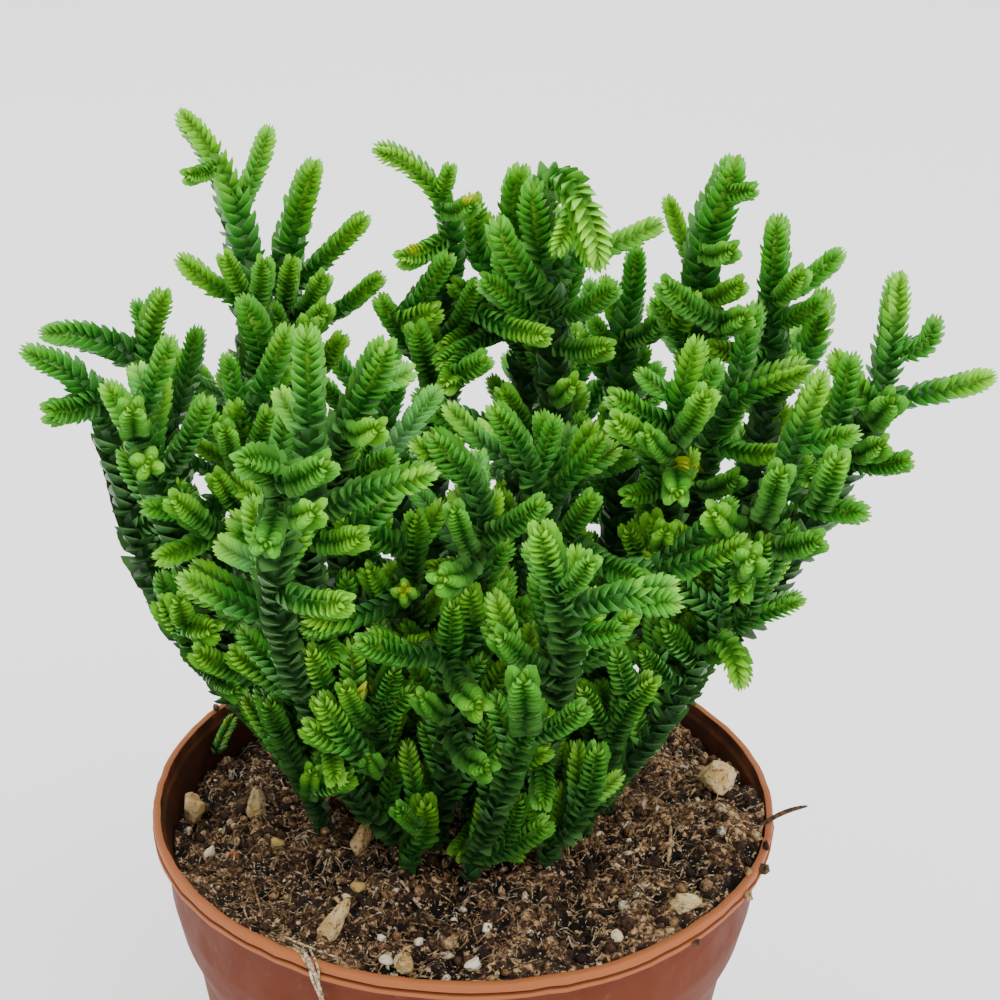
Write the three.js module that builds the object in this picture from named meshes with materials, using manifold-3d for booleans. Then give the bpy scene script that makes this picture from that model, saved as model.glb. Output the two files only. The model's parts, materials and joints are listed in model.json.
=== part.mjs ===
// A potted watch chain crassula: many thin rooted stems, each with side shoots, closely covered by scale
// leaves in four ranks. They stand in peat with pale stones, in a thin tapered nursery pot.
// Millimetres, +Z up. The origin is the middle of the pot's flat bottom, and the front is toward -Y.

import * as THREE from 'three';
import { mergeVertices } from 'three/addons/utils/BufferGeometryUtils.js';
import Module from 'manifold-3d';

const wasm = await Module();
wasm.setup();

// The pot, 105 mm over its rim. Under the collar it steps in at a shoulder and then tapers to its bottom.
const POT_HEIGHT = 94;
const RIM_RADIUS = 52.5;
const LIP_DEPTH = 3.2;
const LIP_ROUND = 0.7;
const LIP_GROOVE = 0.3;
const COLLAR_RADIUS = 50.5;
const COLLAR_FOOT_RADIUS = 50;
const COLLAR_FOOT = 80;
const SHOULDER = 74;
const SHOULDER_RADIUS = 48.8;
const TAPER_TOP = 68;
const TAPER_TOP_RADIUS = 46.5;
const BASE_RADIUS = 36.8;
const BASE_CORNER = 1.2;
const POT_WALL = 0.9;
const POT_FLOOR = 1.0;
const POT_SIDES = 32;
const DRAIN_COUNT = 8;
const DRAIN_RADIUS = 2.4;
const DRAIN_CIRCLE = 27;
const DRAIN_SIDES = 6;

// The soil. Its surface is below the rim, deepest at the back left. It mounds under the plant, rises in a
// bank at the right edge and has low lumps. A spread is the square of a mound's width.
const SEAT_GAP = 0.3;
const SOIL_DROP = 6;
const SOIL_RISE_FRONT = 0.05;
const SOIL_RISE_RIGHT = 0.055;
const SOIL_RINGS = 3;
const MOUND_HEIGHT = 1.6;
const MOUND_SPREAD = 700;
const BANK_HEIGHT = 2.2;
const BANK_AT = [46, -10];
const BANK_SPREAD = 260;
const LUMP_HEIGHT = 0.6;
const LUMP_RATE_X = 0.16;
const LUMP_RATE_Y = 0.15;
const LUMP_SHIFT = 0.9;

// The stems. A stem's width is measured over its leaf tips, and a pitch, from one pair of leaves to the
// next, is a share of it.
const FOOT_DEPTH = 11;
const FOOT_WIDTH = 3.4;
const FOOT_COLLAR = 1.8;
const LOW_WIDTH = 5;
const NARROW = 4.8;
const WIDE = 7;
const SHOOT_PITCH = 0.8;
const STEM_PITCH = 1.1;
const LEAF_LEAN = 0.42;
const VALLEY = 0.5;
const BLUNT = 0.34;
const TIP_FULLNESS = 0.42;
const TIP_SWELL = 0.75;
const FIRST_LEAF = 2.2;
const RANK_TURN = 2.4;
const SHOOT_ROOT_RADIUS = 0.9;
const SHOOT_BOW = 0.1;
const STEP = 2;

// Bending clear: the gap that is kept, the stretch at a joint where a shoot may touch its own stem, how far
// away a path is still watched, the share of an overlap that each round takes out, and the belt over the
// rim's edge.
const CLEARANCE = 0.5;
const JOINT_STRETCH = 8;
const WATCHED = 10;
const PUSH_SHARE = 0.35;
const RIM_BELT = 6;
const GROUND_BELT = 3;
const BEND_ROUNDS = 160;

// The eye that the layout of the stems is sighted from, measured from the middle of the rim.
const EYE = new THREE.Vector3(4.8, -234.4, 149.9);
const SIGHT_PITCH = THREE.MathUtils.degToRad(22.5);
const SIGHT_ROLL = THREE.MathUtils.degToRad(-1.5);

const rim = new THREE.Vector3(0, 0, POT_HEIGHT);
const eye = EYE.clone().add(rim);
const sightAhead = new THREE.Vector3(0, Math.cos(SIGHT_PITCH), -Math.sin(SIGHT_PITCH));
const levelUp = new THREE.Vector3(0, Math.sin(SIGHT_PITCH), Math.cos(SIGHT_PITCH));
const levelRight = new THREE.Vector3(1, 0, 0);
const sightRight = levelRight.clone().multiplyScalar(Math.cos(SIGHT_ROLL))
  .addScaledVector(levelUp, -Math.sin(SIGHT_ROLL));
const sightUp = levelUp.clone().multiplyScalar(Math.cos(SIGHT_ROLL))
  .addScaledVector(levelRight, Math.sin(SIGHT_ROLL));

// A sighted point: right and up are where it shows on a sheet held through the middle of the rim,
// square to the line of sight, and y is how far behind the pot's axis it stands.
function sighted([right, up, y]) {
  const ray = rim.clone().addScaledVector(sightRight, right).addScaledVector(sightUp, up).sub(eye);
  return eye.clone().addScaledVector(ray, (y - eye.y) / ray.y);
}

// Where a point shows on that sheet.
function onSheet(point) {
  const sheetDistance = rim.clone().sub(eye).dot(sightAhead);
  const ray = new THREE.Vector3(point.x, point.y, point.z).sub(eye);
  ray.multiplyScalar(sheetDistance / ray.dot(sightAhead)).add(eye).sub(rim);
  return new THREE.Vector2(ray.dot(sightRight), ray.dot(sightUp));
}

// The rooted stems: the foot's place in the soil (x, y), then sighted points with the stem's width there
// (right, up, y, width), ending at the tip. Each shoot has the sighted place on the stem that it leaves,
// then its own points.
const stems = [
  { name: 'top_left', foot: [-15, 11],
    route: [[-36, 62, 0, 7.4], [-35, 76, 3, 7.8], [-35.5, 87, 4, 7.8], [-38.5, 97, 6, 7.4],
      [-41.5, 106, 6, 5.4], [-49, 115.5, 4, 4.4]],
    shoots: [
      [[-42, 105], [-48, 104, -4, 3.4]],
      [[-38, 98], [-33, 113, 8, 4.4]],
      [[-35, 82], [-49, 90.5, 0, 4.6]],
      [[-35, 83], [-40.5, 91, -6, 3.8]],
      [[-35.5, 79], [-35.5, 89, -9, 4]],
      [[-36, 66], [-36, 76, -8, 7], [-39, 84, -8, 4.6]],
      [[-32, 46], [-30, 60, 12, 7.4], [-30.5, 76, 15, 7.4], [-31, 87, 16, 7.4], [-28, 99, 14, 6.6],
        [-25, 107, 12, 4.6]],
      [[-30, 84], [-22, 92, 12, 4.5], [-16.5, 97.5, 10, 4.4]],
      [[-30, 80], [-29, 89, 4, 4]],
      [[-30, 79], [-25, 87.5, 2, 4]],
      [[-30, 77], [-13.7, 86.5, 8, 4]],
      [[-30, 74], [-24, 82, -2, 4.4]],
      [[-30, 72], [-26.5, 80, -10, 4.4]],
      [[-30, 67], [-20.5, 77, 6, 4.4]]] },
  { name: 'left_outer', foot: [-26, 4],
    route: [[-40, 17.5, 0, 7.2], [-51.5, 31, -4, 7.4], [-57, 45, -6, 7.4], [-60, 60, -6, 7.4],
      [-65, 69.5, -7, 6.6], [-76.5, 74.5, -10, 4.4]],
    shoots: [
      [[-63, 67], [-72.5, 63.5, -16, 5.6]],
      [[-43, 21], [-49, 32.5, -28, 4.8]],
      [[-57, 50], [-47, 59, 2, 4.8]],
      [[-57, 40], [-47, 44, -2, 5]],
      [[-35, 11], [-44, 31, -14, 7], [-52, 48.5, -20, 7.4], [-56, 60.5, -22, 6.6], [-62, 69, -24, 4.4]],
      [[-57, 62], [-50, 77, -22, 4.5]],
      [[-57, 62], [-57, 65, -37, 4.8]],
      [[-55, 58], [-54, 55, -39, 4.8]],
      [[-53, 52], [-43, 67.5, -24, 4.6]]] },
  { name: 'left_upper', foot: [-22, 14],
    route: [[-44, 38, 8, 7.4], [-50, 55, 8, 7.4], [-52.5, 69, 6, 7], [-54, 77, 4, 5.4],
      [-50.5, 85, 2, 4.8]],
    shoots: [
      [[-54, 76], [-56, 83.5, 7, 3.6]],
      [[-53.5, 73], [-64, 77, 2, 6.6], [-73, 77, 0, 4.6]],
      [[-51, 60], [-46, 78.5, 12, 4.6]]] },
  { name: 'left_middle', foot: [-17, 1],
    route: [[-34, 31, -8, 7.2], [-37, 45, -12, 7.2], [-38.5, 57, -14, 6.4], [-40, 66, -16, 4.2]],
    shoots: [
      [[-38.5, 56], [-45, 63.5, -22, 3.8]],
      [[-38, 55], [-41.5, 61.5, -30, 4]],
      [[-38, 54], [-33.5, 64.5, -22, 4]],
      [[-37.5, 47], [-43, 53, -28, 4.2]],
      [[-38.5, 58], [-37.5, 76, -8, 4.1]],
      [[-37, 43], [-50.5, 49.5, -34, 4.6]]] },
  { name: 'near_left_tall', foot: [-9, -8],
    route: [[-27, 24.5, -26, 6.4], [-26.5, 45, -38, 6.4], [-26, 59, -44, 6], [-27, 79, -46, 5]],
    shoots: [
      [[-27, 42], [-16.8, 43, -48, 4.6]],
      [[-26.5, 46], [-17, 50, -47, 4.8], [-4, 53.6, -48, 4.7]],
      [[-26, 60], [-32, 68, -36, 4]]] },
  { name: 'near_left', foot: [-11, -13],
    route: [[-28, 14, -30, 5.6], [-33, 31, -44, 6.2], [-32, 42, -50, 6.2], [-31, 54, -54, 5.4],
      [-39.5, 55.5, -62, 4.8]],
    shoots: [
      [[-31, 53], [-23, 54.5, -66, 4.8]],
      [[-31, 50], [-33, 41, -70, 4.2]],
      [[-31.5, 47], [-26, 47.5, -68, 4.2]],
      [[-33, 33], [-19, 31, -54, 4.7]]] },
  { name: 'low_left', foot: [-24, -8],
    route: [[-29, 3, -14, 5], [-34, 14.5, -24, 5]],
    shoots: [
      [[-27, -1], [-22, 6, -26, 4]]] },
  { name: 'near_centre_tall', foot: [-9, 1],
    route: [[-19, 28, -20, 6.4], [-22, 45, -30, 6.4], [-21.5, 57, -37, 6.4], [-12.3, 76, -44, 5.1]],
    shoots: [
      [[-20, 60], [-14, 61, -52, 4.1]],
      [[-21, 50], [-12, 57, -38, 4.4]],
      [[-16, 69], [-8, 71, -36, 4]]] },
  { name: 'centre', foot: [1, -7],
    route: [[-0.5, 17.5, -18, 6.2], [0.5, 31, -26, 6.2], [2.6, 43, -32, 6], [2, 51, -34, 5.4],
      [-7, 60, -38, 4.8]],
    shoots: [
      [[2.6, 42], [14, 48.5, -42, 4.6]],
      [[2, 40], [-2, 47.5, -46, 4]],
      [[2, 39], [-4.5, 35, -52, 4.8]],
      [[2.6, 49], [4, 58, -24, 4.4]],
      [[-0.5, 6], [-8, 16, -13, 6], [-10.5, 31, -20, 6.2], [-9.5, 38, -24, 4.8], [-8.5, 46.5, -28, 4.2]],
      [[-10, 33], [-11, 33, -38, 3.8]],
      [[-10.5, 29], [-17, 38, -30, 4.2]],
      [[-10.5, 25], [-3, 34, -14, 4.4]]] },
  { name: 'near_centre', foot: [9, -13],
    route: [[15, 10.8, -28, 6], [17, 24.5, -42, 6.2], [16.5, 31, -47, 6.2], [12.5, 44.5, -54, 5.2]],
    shoots: [
      [[16.8, 29], [27, 32, -52, 5], [37, 34, -50, 4.9]],
      [[16, 33], [22, 39, -56, 3.8]],
      [[17, 25], [28, 26, -46, 4.2]],
      [[16, 17], [6, 23, -50, 4.6]]] },
  { name: 'front_long', foot: [2, -22],
    route: [[3.4, -9.8, -26, 4.8], [6, -2.9, -30, 5.2], [8.6, 3.9, -34, 5.6], [10.3, 10.8, -38, 5.6],
      [12.5, 19, -42, 5]],
    shoots: [
      [[11, 13], [9.5, 20, -58, 5.6]],
      [[10.5, 10], [20, 15, -46, 4.4]]] },
  { name: 'front_right_short', foot: [14, -19],
    route: [[18.5, -8, -22, 5], [21.5, -2, -25, 5.2], [23, 7, -28, 5]],
    shoots: [
      [[21, -3], [27, 3, -20, 3.8]]] },
  { name: 'front_middle', foot: [-4, -14],
    route: [[-4, -3, -20, 5.2], [-2.6, 10.8, -26, 5.8], [-2.6, 22.8, -32, 5.6], [-1.7, 32, -36, 4.2]],
    shoots: [
      [[-2.6, 23], [-19, 24.5, -42, 4.6]],
      [[-2.6, 21], [4.3, 13, -52, 5]],
      [[-2.6, 9], [4.3, 2, -46, 4.7]],
      [[-2.6, 12], [-8, 15, -40, 4]]] },
  { name: 'front_open', foot: [-8, -20],
    route: [[-6.5, -8.5, -22, 5.4], [-6.3, -1, -25, 6]],
    shoots: [
      [[-6.5, -6], [-11, -3, -30, 3.8]]] },
  { name: 'front_left', foot: [-15, -7],
    route: [[-15.5, 4, -20, 5.2], [-16.5, 11, -26, 5.2], [-12.5, 20, -31, 4.2]],
    shoots: [
      [[-16, 10], [-21, 17, -36, 4]],
      [[-15.5, 3], [-17.5, 5, -32, 4]]] },
  { name: 'top_centre', foot: [-4, 10],
    route: [[-6, 45, 12, 7.2], [-5, 66, 12, 7.4], [-4, 78, 12, 7.6], [-3, 86, 12, 7.6],
      [-1, 94, 12, 6.2], [-3.4, 101.5, 12, 4.8], [-9.4, 107, 10, 4.2], [-15.5, 109, 8, 4]],
    shoots: [
      [[-4, 101], [-1.5, 106.5, 8, 3.6]],
      [[-2, 98], [2.5, 100, 0, 4]],
      [[-1, 94], [-11, 90, 0, 4.4]],
      [[-4, 76], [2.5, 86, 0, 4.2]],
      [[-5, 70], [-10.5, 77, 8, 4.6], [-14.5, 84.5, 6, 4.4]],
      [[-5, 67], [-8.5, 79, -2, 5.4]]] },
  { name: 'top_centre_right', foot: [4, 16],
    route: [[9.4, 42, 16, 7.4], [10.3, 62, 18, 7.4], [9.4, 78, 18, 7.4], [6.8, 91, 18, 6.8],
      [6, 99, 16, 6.6], [8, 106, 14, 5.6]],
    shoots: [
      [[8, 82], [1, 92, 16, 5.2], [2.5, 101, 14, 5]],
      [[9.4, 78], [2, 76, 4, 4], [-5.5, 71.5, -4, 4]],
      [[10, 66], [19, 74, 12, 4.4]]] },
  { name: 'centre_right', foot: [9, 5],
    route: [[15.5, 38, 4, 7.4], [15.4, 60.5, 4, 7.6], [15.5, 78, 2, 7.6], [13.5, 90, 2, 6.6],
      [13, 103, 0, 5.2], [18, 104, -5, 5.2], [20.5, 95, -9, 5.2], [23.5, 87, -12, 5]],
    shoots: [
      [[14, 88], [24, 91.5, 2, 4.6], [35, 96.5, 6, 4.4]],
      [[15, 84], [21, 96, 8, 4.4]],
      [[16, 80], [2.5, 87, -6, 4.4]],
      [[16.3, 79], [26.5, 85.5, -6, 4.2]],
      [[16.3, 76], [25.5, 75, -10, 4.4]],
      [[16, 68], [19, 69, -14, 4.4]],
      [[15.5, 58], [6, 68, -6, 4.4]],
      [[13, 22], [12.5, 34, -12, 6.6], [13, 45, -18, 6.6], [11, 52.5, -22, 5.6], [2.5, 64, -26, 4.7]],
      [[11.5, 50], [15.5, 63, -20, 4.1]],
      [[12.5, 47], [25, 60.5, -22, 4.3]],
      [[13, 40], [22, 50, -26, 4.4]],
      [[11, 52], [-4, 65, -14, 4.4]]] },
  { name: 'right_rear_tall', foot: [16, 15],
    route: [[26.5, 42, 18, 7.4], [27.4, 60.5, 20, 7.4], [26.5, 76, 20, 7], [28.6, 84.5, 22, 6],
      [29.4, 92.5, 22, 4.6]],
    shoots: [
      [[26.5, 77], [35, 80, 8, 4.6]],
      [[27, 66], [34, 72, 26, 5]],
      [[27, 66], [20, 78, 24, 4.6]]] },
  { name: 'right_tall', foot: [18, 6],
    route: [[38, 45, 6, 7.4], [40, 66, 4, 7.6], [40, 86, 4, 7.6], [40.2, 93, 4, 7.8],
      [43.3, 99.5, 2, 7.8], [46.4, 108, 0, 5.8]],
    shoots: [
      [[44, 101], [50, 102, -4, 3.8]],
      [[40.2, 91], [46, 92, -10, 4.2]],
      [[40, 84], [47.5, 85.5, -8, 4.2]],
      [[40, 80], [49, 81, -14, 4.4]],
      [[40, 85], [37, 93, 8, 3.8], [34.2, 100.5, 8, 3.8]],
      [[40, 72], [32.5, 84, -2, 4]]] },
  { name: 'right_front_tall', foot: [14, -4],
    route: [[31, 31, -8, 6.8], [35, 46.5, -14, 6.8], [36, 60.5, -18, 6.4], [40.2, 77, -18, 4.8]],
    shoots: [
      [[36, 60], [41.8, 67.5, -32, 4.9]],
      [[36, 58], [38.5, 48, -36, 4.9]],
      [[35.6, 56], [31, 60.5, -30, 4.2]],
      [[36, 61], [24, 66.5, -24, 4.6]],
      [[37, 66], [29, 71, -16, 4]],
      [[34, 42], [34.5, 44, -30, 4.4]]] },
  { name: 'right_outer', foot: [28, 8],
    route: [[45, 38, 4, 7.4], [51, 57, 2, 7.4], [53, 69, 0, 7], [53, 83, -2, 6.2],
      [53.6, 98, -4, 5]],
    shoots: [
      [[53, 83], [65.5, 91.5, -2, 4.5]],
      [[53, 82], [58.5, 88, -12, 4.3]],
      [[53, 79], [62.5, 83, -8, 4.2]],
      [[52, 66], [60, 74, 6, 7], [61.5, 85, 4, 4.8]],
      [[52, 64], [57, 74, -8, 4.4]],
      [[50, 54], [59, 62, 8, 5]],
      [[37, 22], [48, 28, -4, 7], [57, 41.5, -8, 7.4], [64, 53.5, -10, 7.4], [71, 65.5, -10, 6.6],
        [73, 76, -10, 5.6], [74.5, 88, -10, 4.8]],
      [[73, 74], [79, 74, -12, 4.6], [81, 80.5, -12, 4.5]],
      [[71, 65], [82, 67, -13, 4.9], [91.5, 70, -14, 4.7]],
      [[70, 64], [73.5, 65, -26, 5.4]],
      [[65, 55], [76, 56, -20, 4.4]],
      [[66, 57], [72, 60, -24, 4.4]],
      [[64, 53], [65, 62, -20, 4.8], [67, 74, -20, 4.6]],
      [[58, 43], [66, 50, 2, 5]]] },
  { name: 'right_front', foot: [24, -2],
    route: [[41, 24.5, -12, 6.8], [48, 41.5, -20, 6.8], [53, 50, -24, 6], [56.5, 59, -26, 5.4],
      [61.5, 71, -26, 4.7]],
    shoots: [
      [[53, 50], [69.5, 46, -32, 4.6]],
      [[50, 45], [54.5, 54.5, -40, 4.9]],
      [[49, 44], [40.2, 47.5, -38, 4.8]],
      [[48.5, 42], [61.5, 41.5, -38, 4.8]],
      [[47.5, 40], [49.5, 39, -46, 4.7]],
      [[33, 12], [37, 31, -3, 6.8], [40.2, 51, -6, 6.8], [42.3, 60.5, -8, 6], [46, 67, -10, 5],
        [60, 71.5, -14, 4.7]],
      [[42, 59], [55, 56.5, -16, 4.4]],
      [[40.4, 50], [48, 52, -20, 4.4]],
      [[40, 45], [33, 54, -4, 4.4]]] },
  { name: 'low_right', foot: [20, -11],
    route: [[34, 12, -11, 6.2], [40.5, 25, -14, 6], [46, 30, -18, 5], [58, 33.5, -22, 4.2]],
    shoots: [
      [[41, 25], [46, 25.5, -26, 5.2], [47.5, 17, -30, 5.2]],
      [[38, 19], [30, 24, -22, 4.4]],
      [[25, 0], [27, 12, -22, 5], [33, 19, -27, 4.4]],
      [[26, 8], [20, 17, -24, 4.2]]] },
];

// The stems of the far side: foot (x, y), then the tip from the middle of the rim (x, y, z).
const farStems = [
  { name: 'rear_left', foot: [-16, 21], tip: [-52, 38, 56] },
  { name: 'rear_centre_left', foot: [-6, 20], tip: [-20, 52, 60] },
  { name: 'rear_centre', foot: [3, 26], tip: [8, 62, 50] },
  { name: 'rear_centre_right', foot: [12, 22], tip: [18, 52, 68] },
  { name: 'rear_right', foot: [23, 18], tip: [46, 46, 60] },
];
const FAR_WIDTH = 7.4;
const FAR_TIP_WIDTH = 4.4;
const FAR_LIFT = 0.55;
const FAR_BOW = 0.12;

// Their side shoots, each drawn between two values: the share of the stem where it leaves, the turn away
// from the stem's own direction in radians, the reach, the rise and the width.
const FAR_SHOOTS = 3;
const FAR_SHOOT_FROM = [0.5, 0.9];
const FAR_SHOOT_TURN = [0.5, 1.3];
const FAR_SHOOT_REACH = [16, 23];
const FAR_SHOOT_RISE = [5, 13];
const FAR_SHOOT_WIDTH = [3.9, 4.5];
const SEED = 7;

// The larger stones: place (x, y), size (x, y, z), turn and tilt in degrees, and how much is sunk.
const stones = [
  { name: 'stone_left', at: [-45.8, -1.5], size: [4.6, 4, 7.4], turn: 20, tilt: 12, sunk: 0.3 },
  { name: 'stone_left_upright', at: [-35.5, -2], size: [3.6, 3, 7], turn: -15, tilt: 8, sunk: 0.35 },
  { name: 'stone_by_stem', at: [-16.5, -13.5], size: [4.6, 4, 6.2], turn: 35, tilt: 10, sunk: 0.35 },
  { name: 'stone_front_chip', at: [-19, -35], size: [7.6, 4.4, 5.2], turn: 30, tilt: 18, sunk: 0.4 },
  { name: 'stone_front_rim', at: [-7.5, -43.5], size: [3.2, 3, 3.4], turn: 0, tilt: 0, sunk: 0.4 },
  { name: 'stone_right', at: [43, 3], size: [7, 5.6, 5], turn: -25, tilt: 6, sunk: 0.4 },
  { name: 'stone_front_right', at: [34.5, -31], size: [5.4, 3.6, 3.2], turn: 15, tilt: 0, sunk: 0.4 },
];

// A stone's dents: how deep, and their waves along x, y and z.
const DENT = 0.1;
const DENT_WAVES = [9, 8, 7];
const DENT_TURN = 4;

// A seeded draw between two values, the same on every run.
const DRAW_FACTOR = 16807;
const DRAW_SPAN = 2147483647;
let drawState = SEED;
function draw([low, high]) {
  drawState = (drawState * DRAW_FACTOR) % DRAW_SPAN;
  return THREE.MathUtils.lerp(low, high, drawState / DRAW_SPAN);
}

// A closed geometry as a solid that can be joined and cut.
function solidOf(geometry) {
  const bare = geometry.clone();
  bare.deleteAttribute('normal');
  bare.deleteAttribute('uv');
  const merged = mergeVertices(bare, 1e-4);
  const corners = merged.index.array;
  const kept = [];
  for (let i = 0; i < corners.length; i += 3) {
    const [a, b, c] = [corners[i], corners[i + 1], corners[i + 2]];
    if (a !== b && b !== c && c !== a) kept.push(a, b, c);
  }
  return new wasm.Manifold(new wasm.Mesh({
    numProp: 3,
    vertProperties: new Float32Array(merged.attributes.position.array),
    triVerts: new Uint32Array(kept),
  }));
}

function geometryOf(solid) {
  const mesh = solid.getMesh();
  const geometry = new THREE.BufferGeometry();
  geometry.setAttribute('position', new THREE.BufferAttribute(new Float32Array(mesh.vertProperties), 3));
  geometry.setIndex(new THREE.BufferAttribute(new Uint32Array(mesh.triVerts), 1));
  geometry.computeVertexNormals();
  return geometry;
}

// Leaf tips stand out at every other corner of a ring, and at the corners between on the next ring.
function standsOut(ring, corner) {
  return (ring + corner) % 2 === 1;
}

// A closed surface from rings of corners, with an end point below and above. The faces between two rings
// are split along the valleys, so that each leaf tip has a face on either side.
function closedRings(rings, lowPoint, highPoint) {
  const sides = rings[0].length;
  const positions = rings.flat().flatMap((point) => [point.x, point.y, point.z]);
  const index = [];
  for (let k = 0; k + 1 < rings.length; k += 1) {
    for (let j = 0; j < sides; j += 1) {
      const next = (j + 1) % sides;
      const [a, b] = [k * sides + j, k * sides + next];
      const [c, d] = [(k + 1) * sides + j, (k + 1) * sides + next];
      index.push(...(standsOut(k, j) ? [a, b, c, b, d, c] : [a, b, d, a, d, c]));
    }
  }
  for (const [point, ring] of [[lowPoint, 0], [highPoint, rings.length - 1]]) {
    const centre = positions.length / 3;
    positions.push(point.x, point.y, point.z);
    for (let j = 0; j < sides; j += 1) {
      const [a, b] = [ring * sides + j, ring * sides + (j + 1) % sides];
      index.push(...(ring === 0 ? [b, a, centre] : [a, b, centre]));
    }
  }
  const geometry = new THREE.BufferGeometry();
  geometry.setAttribute('position', new THREE.Float32BufferAttribute(positions, 3));
  geometry.setIndex(index);
  return geometry;
}

// The height of the soil's surface above the pot's bottom.
function soilHeight(x, y) {
  const slope = -SOIL_DROP - SOIL_RISE_FRONT * y + SOIL_RISE_RIGHT * x;
  const mound = MOUND_HEIGHT * Math.exp(-(x ** 2 + y ** 2) / MOUND_SPREAD);
  const fromBank = (x - BANK_AT[0]) ** 2 + (y - BANK_AT[1]) ** 2;
  const bank = BANK_HEIGHT * Math.exp(-fromBank / BANK_SPREAD);
  const lumps = LUMP_HEIGHT * Math.sin(LUMP_RATE_X * x + LUMP_SHIFT) * Math.cos(LUMP_RATE_Y * y);
  return POT_HEIGHT + slope + mound + bank + lumps;
}

// The stems' paths

// Corners cut three times, with both ends kept. A point holds its width as a fourth number.
function rounded(points) {
  let line = points;
  for (let round = 0; round < 3; round += 1) {
    const cut = [line[0]];
    for (let i = 0; i + 1 < line.length; i += 1) {
      cut.push(line[i].clone().lerp(line[i + 1], 0.25), line[i].clone().lerp(line[i + 1], 0.75));
    }
    cut.push(line.at(-1));
    line = cut;
  }
  return line;
}

function place4(point, width) {
  return new THREE.Vector4(point.x, point.y, point.z, width);
}

function length3(a, b) {
  return Math.hypot(a.x - b.x, a.y - b.y, a.z - b.z);
}

// The same line with even steps.
function evenSteps(line) {
  const along = [0];
  for (let i = 1; i < line.length; i += 1) along.push(along[i - 1] + length3(line[i - 1], line[i]));
  const total = along.at(-1);
  const count = Math.max(3, Math.round(total / STEP));
  const even = [];
  let i = 0;
  for (let k = 0; k <= count; k += 1) {
    const want = (total * k) / count;
    while (i + 2 < line.length && along[i + 1] < want) i += 1;
    const share = (want - along[i]) / (along[i + 1] - along[i]);
    even.push(line[i].clone().lerp(line[i + 1], share));
  }
  return even;
}

const paths = [];

function addPath(stem, line, parent, parentIndex) {
  const samples = evenSteps(line);
  const step = length3(samples[0], samples[1]);
  paths.push({ stem, samples, step, parent, parentIndex });
  return paths.length - 1;
}

// A rooted stem comes straight up out of the soil before it leans.
function addRootedStem(stem, foot, route) {
  const ground = soilHeight(...foot);
  const footPoint = (height) => new THREE.Vector4(...foot, ground + height, LOW_WIDTH);
  const leaning = [footPoint(FOOT_COLLAR), footPoint(3 * FOOT_COLLAR), ...route];
  return addPath(stem, [footPoint(-FOOT_DEPTH), ...rounded(leaning)], -1, 0);
}

// A shoot leaves its stem low and bows up to its tip. With points of its own it follows those.
function addShoot(stem, parent, parentIndex, route) {
  const start = paths[parent].samples[parentIndex];
  const width = route[0].w;
  const points = [new THREE.Vector4(start.x, start.y, start.z, width), ...route];
  if (route.length === 1) {
    const middle = points[0].clone().lerp(route[0], 0.5);
    middle.z -= SHOOT_BOW * length3(points[0], route[0]);
    points.splice(1, 0, middle);
  }
  addPath(stem, rounded(points), parent, parentIndex);
}

stems.forEach((stem, number) => {
  const route = stem.route.map((point) => place4(sighted(point), point[3]));
  const first = addRootedStem(number, stem.foot, route);
  for (const [base, ...own] of stem.shoots) {
    let best = { gap: Infinity };
    paths.slice(first).forEach((path, order) => path.samples.forEach((sample, index) => {
      const gap = onSheet(sample).distanceTo(new THREE.Vector2(...base));
      if (gap < best.gap) best = { gap, parent: first + order, index };
    }));
    addShoot(number, best.parent, best.index, own.map((point) => place4(sighted(point), point[3])));
  }
});

farStems.forEach((stem, order) => {
  const number = stems.length + order;
  const tip = place4(new THREE.Vector3(...stem.tip).add(rim), FAR_TIP_WIDTH);
  const foot = new THREE.Vector3(...stem.foot, soilHeight(...stem.foot));
  const middle = place4(foot.clone().lerp(tip, FAR_LIFT), FAR_WIDTH);
  middle.z += FAR_BOW * length3(foot, tip);
  const first = addRootedStem(number, stem.foot, [middle, tip]);
  const outward = Math.atan2(tip.y, tip.x);
  for (let k = 0; k < FAR_SHOOTS; k += 1) {
    const samples = paths[first].samples;
    const index = Math.round(samples.length * THREE.MathUtils.lerp(...FAR_SHOOT_FROM, k / FAR_SHOOTS));
    const turn = outward + (k % 2 === 0 ? 1 : -1) * draw(FAR_SHOOT_TURN);
    const reach = draw(FAR_SHOOT_REACH);
    const rise = draw(FAR_SHOOT_RISE);
    const start = samples[index];
    const end = new THREE.Vector4(start.x + reach * Math.cos(turn), start.y + reach * Math.sin(turn),
      start.z + rise, draw(FAR_SHOOT_WIDTH));
    addShoot(number, first, index, [end]);
  }
});

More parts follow.
